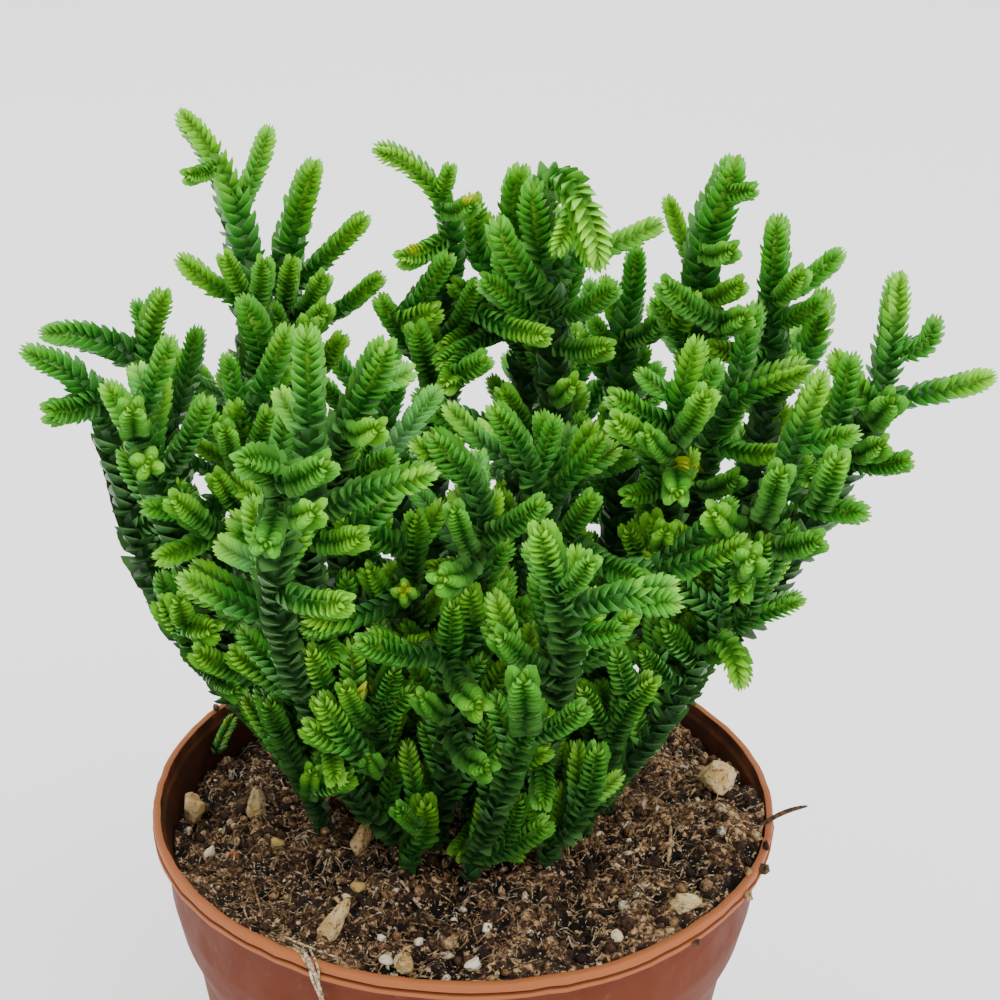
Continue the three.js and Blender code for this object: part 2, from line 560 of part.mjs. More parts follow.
// What crosses is bent clear: points of two paths that are too near push each other away, and the push
// is spread along the path, so that it bends and does not kink. The feet stay where they stand.
function bendClear() {
  const points = [];
  paths.forEach((path, pathNumber) => {
    path.first = points.length;
    path.samples.forEach((sample, index) => {
      const buried = path.parent < 0 && index * path.step < FOOT_DEPTH + FOOT_COLLAR;
      const atJoint = path.parent >= 0 && index * path.step < JOINT_STRETCH;
      points.push({ sample, home: sample.clone(), path: pathNumber, buried, atJoint,
        push: new THREE.Vector3() });
    });
  });
  const pairs = [];
  for (let i = 0; i < points.length; i += 1) {
    for (let j = i + 1; j < points.length; j += 1) {
      const [a, b] = [points[i], points[j]];
      if (a.path === b.path) continue;
      const related = paths[a.path].stem === paths[b.path].stem;
      if (related && (a.atJoint || b.atJoint)) continue;
      const need = (a.sample.w + b.sample.w) / 2 + CLEARANCE;
      if (length3(a.sample, b.sample) < need + WATCHED) pairs.push([a, b, need]);
    }
  }
  for (let round = 0; round < BEND_ROUNDS; round += 1) {
    for (const point of points) point.push.set(0, 0, 0);
    for (const [a, b, need] of pairs) {
      const gap = length3(a.sample, b.sample);
      if (gap >= need) continue;
      const share = (PUSH_SHARE * (need - gap)) / gap;
      const away = new THREE.Vector3().copy(a.sample).sub(b.sample).multiplyScalar(share);
      a.push.add(away);
      b.push.sub(away);
    }
    for (const point of points) {
      if (point.buried) continue;
      point.sample.x += point.push.x;
      point.sample.y += point.push.y;
      point.sample.z += point.push.z;
      const radius = point.sample.w / 2;
      const out = Math.hypot(point.sample.x, point.sample.y);
      const overSoil = out < RIM_RADIUS - RIM_BELT;
      const ground = overSoil ? soilHeight(point.sample.x, point.sample.y) : POT_HEIGHT;
      const lowest = ground + radius + CLEARANCE;
      if (!point.atJoint && out < RIM_RADIUS + RIM_BELT && point.home.z > ground + GROUND_BELT) {
        point.sample.z = Math.max(point.sample.z, lowest);
      }
    }
    for (const path of paths) {
      const last = path.samples.length - 1;
      const shifts = path.samples.map((sample, index) => sample.clone().sub(points[path.first + index].home));
      if (path.parent >= 0) {
        const parent = paths[path.parent];
        const joint = points[parent.first + path.parentIndex];
        shifts[0] = joint.sample.clone().sub(joint.home);
      }
      path.samples.forEach((sample, index) => {
        const point = points[path.first + index];
        if (point.buried) return;
        const before = shifts[Math.max(0, index - 1)];
        const after = shifts[Math.min(last, index + 1)];
        const smooth = index === 0 ? shifts[0].clone() : before.clone().add(after).multiplyScalar(0.25)
          .addScaledVector(shifts[index], 0.5);
        sample.x = point.home.x + smooth.x;
        sample.y = point.home.y + smooth.y;
        sample.z = point.home.z + smooth.z;
      });
    }
  }
}
bendClear();

// The scale leaves

// Positions and upright frames along a path, by carrying one cross direction forward without twist.
function framesOf(path, number) {
  const spots = path.samples.map((sample) => new THREE.Vector3(sample.x, sample.y, sample.z));
  const ahead = spots.map((spot, i) => spots[Math.min(i + 1, spots.length - 1)].clone()
    .sub(spots[Math.max(i - 1, 0)]).normalize());
  let side = new THREE.Vector3(1, 0, 0).cross(ahead[0]);
  if (side.length() < 0.3) side = new THREE.Vector3(0, 1, 0).cross(ahead[0]);
  side.normalize().applyAxisAngle(ahead[0], RANK_TURN * number);
  const sides = ahead.map((direction) => {
    side = side.clone().addScaledVector(direction, -side.dot(direction)).normalize();
    return side;
  });
  const along = [0];
  for (let i = 1; i < spots.length; i += 1) along.push(along[i - 1] + spots[i].distanceTo(spots[i - 1]));
  return { spots, ahead, sides, along, total: along.at(-1) };
}

// The point at a distance along the path, off its axis by a radius toward one of the four ranks.
function rankPoint(frames, distance, rank, radius) {
  const { spots, ahead, sides, along } = frames;
  let i = 0;
  while (i + 2 < along.length && along[i + 1] < distance) i += 1;
  const share = (distance - along[i]) / (along[i + 1] - along[i]);
  const spot = spots[i].clone().lerp(spots[i + 1], share);
  const direction = ahead[i].clone().lerp(ahead[i + 1], share).normalize();
  const side = sides[i].clone().lerp(sides[i + 1], share);
  side.addScaledVector(direction, -side.dot(direction)).normalize();
  side.applyAxisAngle(direction, (rank * Math.PI) / 2);
  return spot.addScaledVector(side, radius);
}

function widthAt(path, frames, distance) {
  const place = (distance / frames.total) * (path.samples.length - 1);
  const i = Math.min(Math.floor(place), path.samples.length - 2);
  return THREE.MathUtils.lerp(path.samples[i].w, path.samples[i + 1].w, place - i);
}

// A leafy shoot: at each pair of leaves two opposite ranks stand out at the leaf tips, and the other two
// are in the valley above their own last tips. The next pair is turned by a quarter.
function leafyShoot(path, number) {
  const frames = framesOf(path, number);
  const ranks = [0, 1, 2, 3];
  const ring = (distance, radius) => ranks.map((rank) => rankPoint(frames, distance, rank, radius));
  const rings = [];
  let distance;
  if (path.parent < 0) {
    rings.push(ring(0, FOOT_WIDTH / 2), ring(FOOT_DEPTH + FOOT_COLLAR, FOOT_WIDTH / 2));
    distance = FOOT_DEPTH + FOOT_COLLAR + 0.5 * LOW_WIDTH;
  } else {
    rings.push(ring(0, SHOOT_ROOT_RADIUS));
    distance = FIRST_LEAF;
  }
  const apex = frames.total;
  while (true) {
    const width = widthAt(path, frames, distance);
    if (distance > apex - BLUNT * width) break;
    const closing = Math.min(1, TIP_FULLNESS + TIP_SWELL * Math.sqrt((apex - distance) / width));
    const pitch = width * THREE.MathUtils.mapLinear(
      THREE.MathUtils.clamp(width, NARROW, WIDE), NARROW, WIDE, SHOOT_PITCH, STEM_PITCH);
    rings.push(ranks.map((rank) => {
      const isTip = standsOut(rings.length, rank);
      const radius = (width / 2) * closing * (isTip ? 1 : VALLEY);
      return rankPoint(frames, distance + (isTip ? 1 : -1) * LEAF_LEAN * pitch, rank, radius);
    }));
    distance += pitch;
  }
  const low = rankPoint(frames, 0, 0, 0);
  const high = rankPoint(frames, apex, 0, 0);
  return solidOf(closedRings(rings, low, high));
}

// The pot, turned from its profile, with drainage holes near the edge of its bottom.
function profileSolid(profile) {
  const points = profile.map(([radius, height]) => new THREE.Vector2(radius, height));
  const geometry = new THREE.LatheGeometry(points, POT_SIDES);
  geometry.rotateX(Math.PI / 2);
  return solidOf(geometry);
}

function makePot() {
  const lipFoot = POT_HEIGHT - LIP_DEPTH;
  const lipMiddle = POT_HEIGHT - LIP_DEPTH / 2;
  const outside = [
    [BASE_RADIUS - BASE_CORNER, 0], [BASE_RADIUS, BASE_CORNER], [TAPER_TOP_RADIUS, TAPER_TOP],
    [SHOULDER_RADIUS, SHOULDER], [COLLAR_FOOT_RADIUS, COLLAR_FOOT], [COLLAR_RADIUS, lipFoot - LIP_ROUND],
    [RIM_RADIUS - LIP_ROUND, lipFoot], [RIM_RADIUS, lipFoot + LIP_ROUND],
    [RIM_RADIUS - LIP_GROOVE, lipMiddle], [RIM_RADIUS, POT_HEIGHT - LIP_ROUND],
    [RIM_RADIUS - LIP_ROUND, POT_HEIGHT],
  ];
  const inside = [
    [COLLAR_RADIUS - POT_WALL, POT_HEIGHT - LIP_ROUND], [COLLAR_FOOT_RADIUS - POT_WALL, COLLAR_FOOT],
    [SHOULDER_RADIUS - POT_WALL, SHOULDER], [TAPER_TOP_RADIUS - POT_WALL, TAPER_TOP],
    [BASE_RADIUS - POT_WALL, POT_FLOOR],
  ];
  let body = profileSolid([[0, 0], ...outside, ...inside, [0, POT_FLOOR]]);
  for (let k = 0; k < DRAIN_COUNT; k += 1) {
    const turn = (2 * Math.PI * k) / DRAIN_COUNT;
    const drain = new THREE.CylinderGeometry(DRAIN_RADIUS, DRAIN_RADIUS, 4 * POT_FLOOR, DRAIN_SIDES);
    drain.rotateX(Math.PI / 2);
    drain.translate(DRAIN_CIRCLE * Math.cos(turn), DRAIN_CIRCLE * Math.sin(turn), POT_FLOOR / 2);
    body = body.subtract(solidOf(drain));
  }
  return body;
}

// The soil fills the pot up to its uneven surface, with a plain hole for each stem's foot and a pocket
// under each stone.
function makeSoil(cuts) {
  const inset = POT_WALL + SEAT_GAP;
  const wallRings = [
    [BASE_RADIUS - inset, POT_FLOOR + SEAT_GAP], [TAPER_TOP_RADIUS - inset, TAPER_TOP],
    [SHOULDER_RADIUS - inset, SHOULDER], [COLLAR_FOOT_RADIUS - inset, COLLAR_FOOT],
  ];
  const corner = (radius, k, height) => {
    const turn = (2 * Math.PI * k) / POT_SIDES;
    const [x, y] = [radius * Math.sin(turn), -radius * Math.cos(turn)];
    return new THREE.Vector3(x, y, height ?? soilHeight(x, y));
  };
  const around = [...Array(POT_SIDES).keys()];
  const rings = wallRings.map(([radius, height]) => around.map((k) => corner(radius, k, height)));
  const edge = COLLAR_FOOT_RADIUS - inset;
  for (let ring = SOIL_RINGS; ring >= 1; ring -= 1) {
    rings.push(around.map((k) => corner((edge * ring) / SOIL_RINGS, k)));
  }
  const below = new THREE.Vector3(0, 0, POT_FLOOR + SEAT_GAP);
  const above = new THREE.Vector3(0, 0, soilHeight(0, 0));
  let body = solidOf(closedRings(rings, below, above));
  for (const cut of cuts) body = body.subtract(cut);
  return body;
}

// The hole of a stem's foot is the foot's own square section, with a gap all round. It goes up past the
// highest soil beside the stem.
function footHole(path, number) {
  const frames = framesOf(path, number);
  const radius = FOOT_WIDTH / 2 + SEAT_GAP * Math.SQRT2;
  const rings = [-SEAT_GAP, 1.5 * FOOT_DEPTH].map((height) => [0, 1, 2, 3].map((rank) => {
    const corner = rankPoint(frames, 0, rank, radius);
    corner.z += height;
    return corner;
  }));
  const foot = frames.spots[0];
  const low = new THREE.Vector3(foot.x, foot.y, rings[0][0].z);
  const high = new THREE.Vector3(foot.x, foot.y, rings[1][0].z);
  return solidOf(closedRings(rings, low, high));
}

// A stone is a ball with flattened and pushed-in faces, partly sunk in the soil.
function makeStone(stone, grow) {
  const geometry = new THREE.IcosahedronGeometry(0.5, 1);
  const corners = geometry.attributes.position;
  const corner = new THREE.Vector3();
  const [waveX, waveY, waveZ] = DENT_WAVES;
  for (let i = 0; i < corners.count; i += 1) {
    corner.fromBufferAttribute(corners, i);
    const across = Math.sin(waveX * corner.x + DENT_TURN * stone.turn);
    const upward = Math.cos(waveY * corner.y + waveZ * corner.z);
    corner.multiplyScalar(1 + DENT * across * upward);
    corners.setXYZ(i, corner.x, corner.y, corner.z);
  }
  const [length, width, height] = stone.size;
  geometry.scale(length + 2 * grow, width + 2 * grow, height + 2 * grow);
  geometry.rotateX(THREE.MathUtils.degToRad(stone.tilt));
  geometry.rotateZ(THREE.MathUtils.degToRad(stone.turn));
  const [x, y] = stone.at;
  geometry.translate(x, y, soilHeight(x, y) + height * (0.5 - stone.sunk));
  return solidOf(geometry);
}

function material(color, roughness) {
  return new THREE.MeshStandardMaterial({ color, roughness, metalness: 0 });
}

const looks = {
  pot: () => material(0xa9583a, 0.42),
  soil: () => material(0x4a3527, 0.95),
  stem: () => material(0x86b53c, 0.45),
  stone: () => material(0xc9bfae, 0.8),
};

const model = new THREE.Group();

function addPart(name, solid, look) {
  const mesh = new THREE.Mesh(geometryOf(solid), look());
  mesh.name = name;
  model.add(mesh);
}

const allStems = [...stems, ...farStems];
const holes = [];
addPart('pot', makePot(), looks.pot);
allStems.forEach((stem, number) => {
  const own = paths.filter((path) => path.stem === number);
  const shoots = own.map((path) => leafyShoot(path, paths.indexOf(path)));
  addPart(`leafy_stem_${stem.name}`, wasm.Manifold.union(shoots).simplify(0.02), looks.stem);
  holes.push(footHole(own[0], paths.indexOf(own[0])));
});
const pockets = stones.map((stone) => makeStone(stone, SEAT_GAP));
addPart('soil', makeSoil([...holes, ...pockets]), looks.soil);
for (const stone of stones) addPart(stone.name, makeStone(stone, 0), looks.stone);

export default model;
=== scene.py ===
"""A potted watch chain crassula: leafy stems in peat and grit, in a thin terracotta-coloured nursery pot."""

import json
import math

import bpy
import numpy as np
from mathutils import Matrix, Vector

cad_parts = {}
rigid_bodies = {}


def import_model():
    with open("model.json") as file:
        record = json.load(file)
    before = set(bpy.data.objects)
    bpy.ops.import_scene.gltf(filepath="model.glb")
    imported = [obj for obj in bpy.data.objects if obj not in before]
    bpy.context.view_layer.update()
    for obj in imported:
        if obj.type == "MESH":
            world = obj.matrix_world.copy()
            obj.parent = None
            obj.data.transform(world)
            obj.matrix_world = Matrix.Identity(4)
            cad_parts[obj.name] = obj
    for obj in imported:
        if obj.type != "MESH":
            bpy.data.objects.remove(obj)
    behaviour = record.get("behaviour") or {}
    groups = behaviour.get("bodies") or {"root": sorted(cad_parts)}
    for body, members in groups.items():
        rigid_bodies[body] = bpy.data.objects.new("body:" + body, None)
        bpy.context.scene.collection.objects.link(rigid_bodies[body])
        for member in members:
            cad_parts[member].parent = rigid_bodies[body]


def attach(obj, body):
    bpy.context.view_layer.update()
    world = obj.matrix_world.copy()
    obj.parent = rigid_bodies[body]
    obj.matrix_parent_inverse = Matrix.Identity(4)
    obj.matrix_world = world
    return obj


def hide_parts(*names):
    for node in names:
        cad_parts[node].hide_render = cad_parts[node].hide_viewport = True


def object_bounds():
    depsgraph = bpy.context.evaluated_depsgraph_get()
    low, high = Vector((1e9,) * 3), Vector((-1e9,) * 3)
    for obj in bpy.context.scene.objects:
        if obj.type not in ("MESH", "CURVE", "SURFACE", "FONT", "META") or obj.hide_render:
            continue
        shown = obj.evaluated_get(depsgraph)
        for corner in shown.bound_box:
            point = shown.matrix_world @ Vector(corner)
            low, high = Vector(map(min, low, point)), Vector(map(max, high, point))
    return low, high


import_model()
cad_box = [list(corner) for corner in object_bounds()]


# The pot. It is one thin injection moulding of terracotta-coloured plastic: a rolled lip of two lines, a
# short collar, a shoulder to grip by, and a wall that tapers to a flat bottom with eight drainage holes.

MM = 0.001
WELD_REACH = 0.0001
LATTICE = 128
LATTICE_SHIFT = 57
POT_HEIGHT = 94.0
RIM_RADIUS = 52.5
LIP_DEPTH = 2.6
LIP_INSIDE = 50.9
# The lip's line from its foot up and over: in from the rim's radius, up from the lip's foot.
LIP_LINE = ((1.9, 0), (0.1, 0), (0, 0.8), (0.75, 1.0), (0.15, 1.3), (0.3, 2.5), (0.8, 2.6), (1.4, 2.45),
            (1.6, 1.1))
LIP_SOFTNESS = 0.2
INNER_LIP_DROP = 2.0
CORNER_SHARE = 0.45
LIP_BLEND = 0.2
LIP_BURR = 0.2
COLLAR_RADIUS = 50.5
COLLAR_FOOT_RADIUS = 50.0
COLLAR_FOOT = 80.0
SHOULDER = 74.0
SHOULDER_RADIUS = 48.8
TAPER_TOP = 68.0
TAPER_TOP_RADIUS = 46.5
BASE_RADIUS = 36.8
BASE_CORNER = 1.2
POT_WALL = 0.9
POT_FLOOR = 1.0
POT_SIDES = 120
DRAIN_COUNT = 8
DRAIN_RADIUS = 2.4
DRAIN_CIRCLE = 27.0
DRAIN_SIDES = 24
DRILL_FROM, DRILL_TO = -2, 3
FLASH_TURN = math.radians(229.5)
FLASH_WIDTH = 0.018
FLASH_DROP = 1.7
FLASH_REACH = 0.4
BURR_SHORT, BURR_LONG = 2.2, 14
BURR_SEEDS = (4, 5)
PLASTIC = (92, 38, 14)
PLASTIC_WARM = (99, 43, 17)
# Painted highlight for the top of the lip.
LIP_PAINTED_HIGHLIGHT = (152, 88, 50)
# Painted shade for the dark line in the lip's groove.
GROOVE_PAINTED_SHADE = (84, 34, 14)
GROOVE_FROM, GROOVE_TO = (0.0921, 0.0923), (0.0925, 0.0927)
COLLAR_DUST = (140, 88, 58)
# Painted shade for the inside of the pot.
INSIDE_PAINTED_SHADE = (50, 27, 18)

lip_foot = POT_HEIGHT - LIP_DEPTH


def mesh_piece(name, material, points, triangles, attributes=None):
    """A smooth mesh piece from points in millimetres and corner numbers, with values for each point.

    Points that coincide become one and triangles without area go, which closes seams and poles."""
    points = np.asarray(points, float)
    cells = np.round(points / WELD_REACH).astype(np.int64)
    _, kept, merged = np.unique(cells, axis=0, return_index=True, return_inverse=True)
    corners = merged.reshape(-1)[np.asarray(triangles)].astype(np.int32)
    a, b, c = corners.T
    corners = corners[(a != b) & (b != c) & (c != a)]
    mesh = bpy.data.meshes.new(name)
    mesh.vertices.add(len(kept))
    mesh.vertices.foreach_set("co", (points[kept] * MM).astype(np.float32).ravel())
    mesh.loops.add(corners.size)
    mesh.loops.foreach_set("vertex_index", corners.ravel())
    mesh.polygons.add(len(corners))
    mesh.polygons.foreach_set("loop_start", np.arange(len(corners), dtype=np.int32) * 3)
    mesh.update(calc_edges=True)
    mesh.shade_smooth()
    for label, values in (attributes or {}).items():
        layer = mesh.attributes.new(label, "FLOAT", "POINT")
        layer.data.foreach_set("value", np.asarray(values, np.float32).ravel()[kept])
    piece = bpy.data.objects.new(name, mesh)
    bpy.context.scene.collection.objects.link(piece)
    mesh.materials.append(material)
    return piece


def grid_triangles(rows, columns):
    """The triangles between rows of points that close round, outward where rows run upward."""
    row, column = np.meshgrid(np.arange(rows - 1), np.arange(columns), indexing="ij")
    after = (column + 1) % columns
    a, b = row * columns + column, row * columns + after
    c, d = a + columns, b + columns
    return np.concatenate([np.stack([a, b, d], -1).reshape(-1, 3), np.stack([a, d, c], -1).reshape(-1, 3)])


def eased(outline, rounds):
    """An outline with its corners cut a few times, a quarter off each edge's ends. Its end points stay."""
    line = np.asarray(outline, float)
    for _ in range(rounds):
        cuts = np.stack([line[:-1] * 0.75 + line[1:] * 0.25, line[:-1] * 0.25 + line[1:] * 0.75], 1)
        line = np.concatenate([line[:1], cuts.reshape(-1, line.shape[1]), line[-1:]])
    return line


def softened(outline, reach):
    """An outline whose corners are rounded within a short reach, or a share of a shorter edge."""
    line = np.asarray(outline, float)
    edges = np.diff(line, axis=0)
    share = np.minimum(reach / np.linalg.norm(edges, axis=1), CORNER_SHARE)[:, None]
    after, before = line[:-1] + edges * share, line[1:] - edges * share
    corners = np.stack([before[:-1], line[1:-1], after[1:]], 1).reshape(-1, 2)
    return eased(np.concatenate([line[:1], corners, line[-1:]]), 1)


def turns_of(count):
    """That many even directions round a circle."""
    return np.arange(count) * 2 * math.pi / count


def circled(radius, turn):
    """The x and y at a radius in a direction round the Z axis."""
    return radius * np.cos(turn), radius * np.sin(turn)


def turned(outline, sides):
    """A profile of (radius, height) carried round the Z axis, as points and triangles."""
    turn = turns_of(sides)
    radius, height = outline[:, 0, None], outline[:, 1, None]
    points = np.stack([*circled(radius, turn), height + 0 * turn], -1)
    return points.reshape(-1, 3), grid_triangles(len(outline), sides)


def joined(parts):
    """Several (points, triangles, values by point) as one, the triangles counted on from part to part."""
    starts = np.cumsum([0] + [len(points) for points, _, _ in parts])
    points = np.concatenate([points for points, _, _ in parts])
    triangles = np.concatenate([faces + start for (_, faces, _), start in zip(parts, starts)])
    values = {label: np.concatenate([held[label] for *_, held in parts]) for label in parts[0][2]}
    return points, triangles, values


def repeated(points, triangles):
    """Many things of one form as points and triangles, from rows of their points and one's triangles."""
    starts = math.prod(points.shape[1:-1]) * np.arange(len(points))[:, None, None]
    return points.reshape(-1, 3), (triangles + starts).reshape(-1, 3)


def lattice_noise(x, y, size, seed):
    """Smooth noise of -1 to 1 whose bumps are about size apart: random values on a lattice, blended."""
    values = np.random.default_rng(seed).uniform(-1, 1, (LATTICE, LATTICE))
    u, v = x / size + LATTICE_SHIFT, y / size + LATTICE_SHIFT
    i, j = np.floor(u).astype(int), np.floor(v).astype(int)
    s, t = u - i, v - j
    s, t = s * s * (3 - 2 * s), t * t * (3 - 2 * t)
    i, j = i % (LATTICE - 1), j % (LATTICE - 1)
    low = values[i, j] * (1 - s) + values[i + 1, j] * s
    high = values[i, j + 1] * (1 - s) + values[i + 1, j + 1] * s
    return low * (1 - t) + high * t


class Wire:
    """An output of a shader node. Arithmetic on it adds the Math node that does the sum."""

    def __init__(self, tree, output=None):
        self.tree = tree
        self.output = output

    def add(self, kind, settings=None, sockets=None, out=0):
        """Any shader node: its settings or a ramp's stops first, then the values or wires of its sockets."""
        node = self.tree.nodes.new("ShaderNode" + kind)
        for name, value in (settings or {}).items():
            if name == "stops":
                marks = node.color_ramp.elements
                for order, (at, *shade) in enumerate(value):
                    mark = marks[order] if order < 2 else marks.new(at)
                    mark.position = at
                    mark.color = tone(*shade)
            else:
                setattr(node, name, value)
        for name, value in (sockets or {}).items():
            if isinstance(value, Wire):
                self.tree.links.new(value.output, node.inputs[name])
            else:
                node.inputs[name].default_value = value
        return Wire(self.tree, node.outputs[out])

    def sum(self, operation, first, second):
        return self.add("Math", {"operation": operation}, {0: first, 1: second})

    def __add__(self, other):
        return self.sum("ADD", self, other)

    def __sub__(self, other):
        return self.sum("SUBTRACT", self, other)

    def __rsub__(self, other):
        return self.sum("SUBTRACT", other, self)

    def __mul__(self, other):
        return self.sum("MULTIPLY", self, other)

    __radd__ = __add__
    __rmul__ = __mul__

    def fade(self, low, high):
        """0 at low and 1 at high, smoothly between and held outside."""
        return self.add("MapRange", {"interpolation_type": "SMOOTHSTEP"},
                        {"Value": self, "From Min": low, "From Max": high})

    def paint(self, under, over):
        """The wire or screen colour under where this is 0, and over where it is 1."""
        under, over = (side if isinstance(side, Wire) else tone(*side) for side in (under, over))
        return self.add("Mix", {"data_type": "RGBA"}, {"Factor": self, 6: under, 7: over}, out=2)

    def noise(self, scale, detail=3.0, roughness=0.55):
        """Noise of 0 to 1 with that many waves a metre on the piece's own coordinates."""
        place = self.add("TexCoord", out=3)
        sockets = {"Vector": place, "Scale": scale, "Detail": detail, "Roughness": roughness}
        return self.add("TexNoise", None, sockets)

    def attribute(self, name):
        """A value that the mesh holds for each of its points."""
        return self.add("Attribute", {"attribute_name": name}, None, out=2)

    def place(self, axis):
        """How far along X, Y or Z, for axis 0, 1 or 2, a point of the piece is, in metres."""
        return self.add("SeparateXYZ", None, {0: self.add("TexCoord", out=3)}, out=axis)

    def ramp(self, *stops):
        """The screen colour for this value, blended between stops of (value, red, green, blue)."""
        return self.add("ValToRGB", {"stops": stops}, {0: self})


def tone(red, green, blue):
    """A screen colour of 0 to 255 as the linear colour that a shader takes, opaque."""
    shares = np.array([red, green, blue]) / 255
    linear = np.where(shares < 0.04045, shares / 12.92, ((shares + 0.055) / 1.055) ** 2.4)
    return (*linear.tolist(), 1.0)


def finish_of(name, colour, roughness, specular, bump=None, bump_height=0.0):
    """A material whose colour, roughness and bump come from the wires that its functions return."""
    material = bpy.data.materials.new(name)
    material.use_nodes = True
    tree = material.node_tree
    shader = tree.nodes["Principled BSDF"]
    shader.inputs["Specular IOR Level"].default_value = specular
    start = Wire(tree)
    tree.links.new(colour(start).output, shader.inputs["Base Color"])
    tree.links.new(roughness(start).output, shader.inputs["Roughness"])
    if bump:
        raised = start.add("Bump", None, {"Height": bump(start), "Distance": bump_height, "Strength": 1.0})
        tree.links.new(raised.output, shader.inputs["Normal"])
    return material


def grain(scale, detail, rough=0.55, span=None, least=0.0):
    """What finish_of takes for a plain roughness or bump: noise, or its span of noise over its least."""
    def value(start):
        waves = start.noise(scale, detail, rough)
        return waves * span + least if span else waves
    return value


def pot_colour(start):
    """Plastic: a painted highlight on the lip, painted shade in the groove and inside, a dusty collar."""
    height = start.place(2)
    wall = start.noise(60, 4).fade(0.35, 0.7).paint(PLASTIC, PLASTIC_WARM)
    # The lip is painted paler: a painted highlight where light from above falls on its rolled top.
    lip = height.fade((lip_foot - LIP_BLEND) * MM, (lip_foot + LIP_BLEND) * MM).paint(wall, LIP_PAINTED_HIGHLIGHT)
    # A dark line of painted shade in the lip's groove.
    groove = height.fade(*GROOVE_FROM) * (1 - height.fade(*GROOVE_TO))
    groove_shaded = (groove * 0.7).paint(lip, GROOVE_PAINTED_SHADE)
    dust = start.noise(420, 5, 0.7).fade(0.56, 0.75) * height.fade(0.070, POT_HEIGHT * MM) * 0.35
    dusty = dust.paint(groove_shaded, COLLAR_DUST)
    # Walls that face inward are darkened by painted shade, mottled by noise.
    faces_out = {0: start.add("TexCoord", out=1), 1: start.add("TexCoord", out=3)}
    inside = 1 - start.add("VectorMath", {"operation": "DOT_PRODUCT"}, faces_out, out=1).fade(-0.03, -0.01)
    inside_shade = inside * (start.noise(130, 4, 0.6).fade(0.3, 0.6) * 0.4 + 0.5)
    return inside_shade.paint(dusty, INSIDE_PAINTED_SHADE)


def pot_roughness(start):
    """A dull gloss that noise makes duller in patches."""
    return start.noise(180, 4).fade(0.3, 0.75) * 0.14 + 0.56


def pot_bump(start):
    """The fine grain of the mould and the wide waves of a thin wall."""
    return start.noise(900, 3) * 0.5 + start.noise(70, 2) * 0.35


plastic = finish_of("terracotta_plastic", pot_colour, pot_roughness, 0.15, pot_bump, 0.00008)

wall_line = [[TAPER_TOP_RADIUS, TAPER_TOP], [SHOULDER_RADIUS, SHOULDER], [COLLAR_FOOT_RADIUS, COLLAR_FOOT]]
inside_wall = [[radius - POT_WALL, height] for radius, height in wall_line[::-1]]
pot_outline = np.concatenate([
    softened([[0, 0], [BASE_RADIUS, 0], *wall_line, [COLLAR_RADIUS, lip_foot]], BASE_CORNER),
    softened([[RIM_RADIUS - inward, lip_foot + up] for inward, up in LIP_LINE], LIP_SOFTNESS),
    softened([[COLLAR_RADIUS - POT_WALL, lip_foot - INNER_LIP_DROP], *inside_wall,
              [BASE_RADIUS - POT_WALL, POT_FLOOR], [0, POT_FLOOR]], BASE_CORNER),
])
pot_points, pot_faces = turned(pot_outline, POT_SIDES)
pot_turns = np.arctan2(pot_points[:, 1], pot_points[:, 0])
around = pot_turns * RIM_RADIUS
at_lip = pot_points[:, 2] > lip_foot - LIP_BLEND
burr = lattice_noise(around, pot_points[:, 2], BURR_SHORT, BURR_SEEDS[0])
burr += lattice_noise(around, 0 * around, BURR_LONG, BURR_SEEDS[1])
pot_points[:, :2] *= (1 + at_lip * burr * LIP_BURR / RIM_RADIUS)[:, None]
from_flash = (pot_turns - FLASH_TURN + math.pi) % (2 * math.pi) - math.pi
pot_radii = np.hypot(pot_points[:, 0], pot_points[:, 1])
lip_edge = (pot_radii > COLLAR_RADIUS + FLASH_REACH) & (np.abs(pot_points[:, 2] - lip_foot) < FLASH_REACH)
pot_points[:, 2] -= lip_edge * FLASH_DROP * np.maximum(0, 1 - np.abs(from_flash) / FLASH_WIDTH)
pot = mesh_piece("nursery_pot", plastic, pot_points, pot_faces)

hole, hole_faces = turned(np.array([[0, DRILL_FROM], [DRAIN_RADIUS, DRILL_FROM], [DRAIN_RADIUS, DRILL_TO],
                                    [0, DRILL_TO]]), DRAIN_SIDES)
drill = mesh_piece("drain_drill", plastic, *joined([
    (hole + [*circled(DRAIN_CIRCLE, turn), 0], hole_faces, {}) for turn in turns_of(DRAIN_COUNT)]))
cut = pot.modifiers.new("drain_holes", "BOOLEAN")
cut.object = drill
cut.operation = "DIFFERENCE"
bpy.context.view_layer.objects.active = pot
bpy.ops.object.modifier_apply(modifier=cut.name)
bpy.data.objects.remove(drill)
pot.data.shade_smooth()
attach(pot, "root")
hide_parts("pot")


# The soil. It is one root ball of dark peat that fills the pot, crumbly and fibrous on top, lower at the back
# left and banked up at the right. Crumbs lie on it, and thin roots and fibres run through them.

SEAT_GAP = 0.3
SOIL_DROP = 6.0
SOIL_RISE_FRONT = 0.05
SOIL_RISE_RIGHT = 0.055
MOUND_HEIGHT = 1.6
MOUND_SPREAD = 700.0
BANK_HEIGHT = 2.2
BANK_AT = (46.0, -10.0)
BANK_SPREAD = 260.0
LUMP_HEIGHT = 0.6
LUMP_RATE_X = 0.16
LUMP_RATE_Y = 0.15
LUMP_SHIFT = 0.9
SOIL_CREASE = 0.45
SOIL_SIDES = 310
SOIL_RINGS = 112
SOIL_TOP_RADIUS = 49.2
SOIL_SKIRT_SHARE = 0.995
SOIL_SKIRT_DROP = 2.0
BANK_GAP = 0.1
BANKED_FROM = 91.2
BANKED_OVER = 1.4
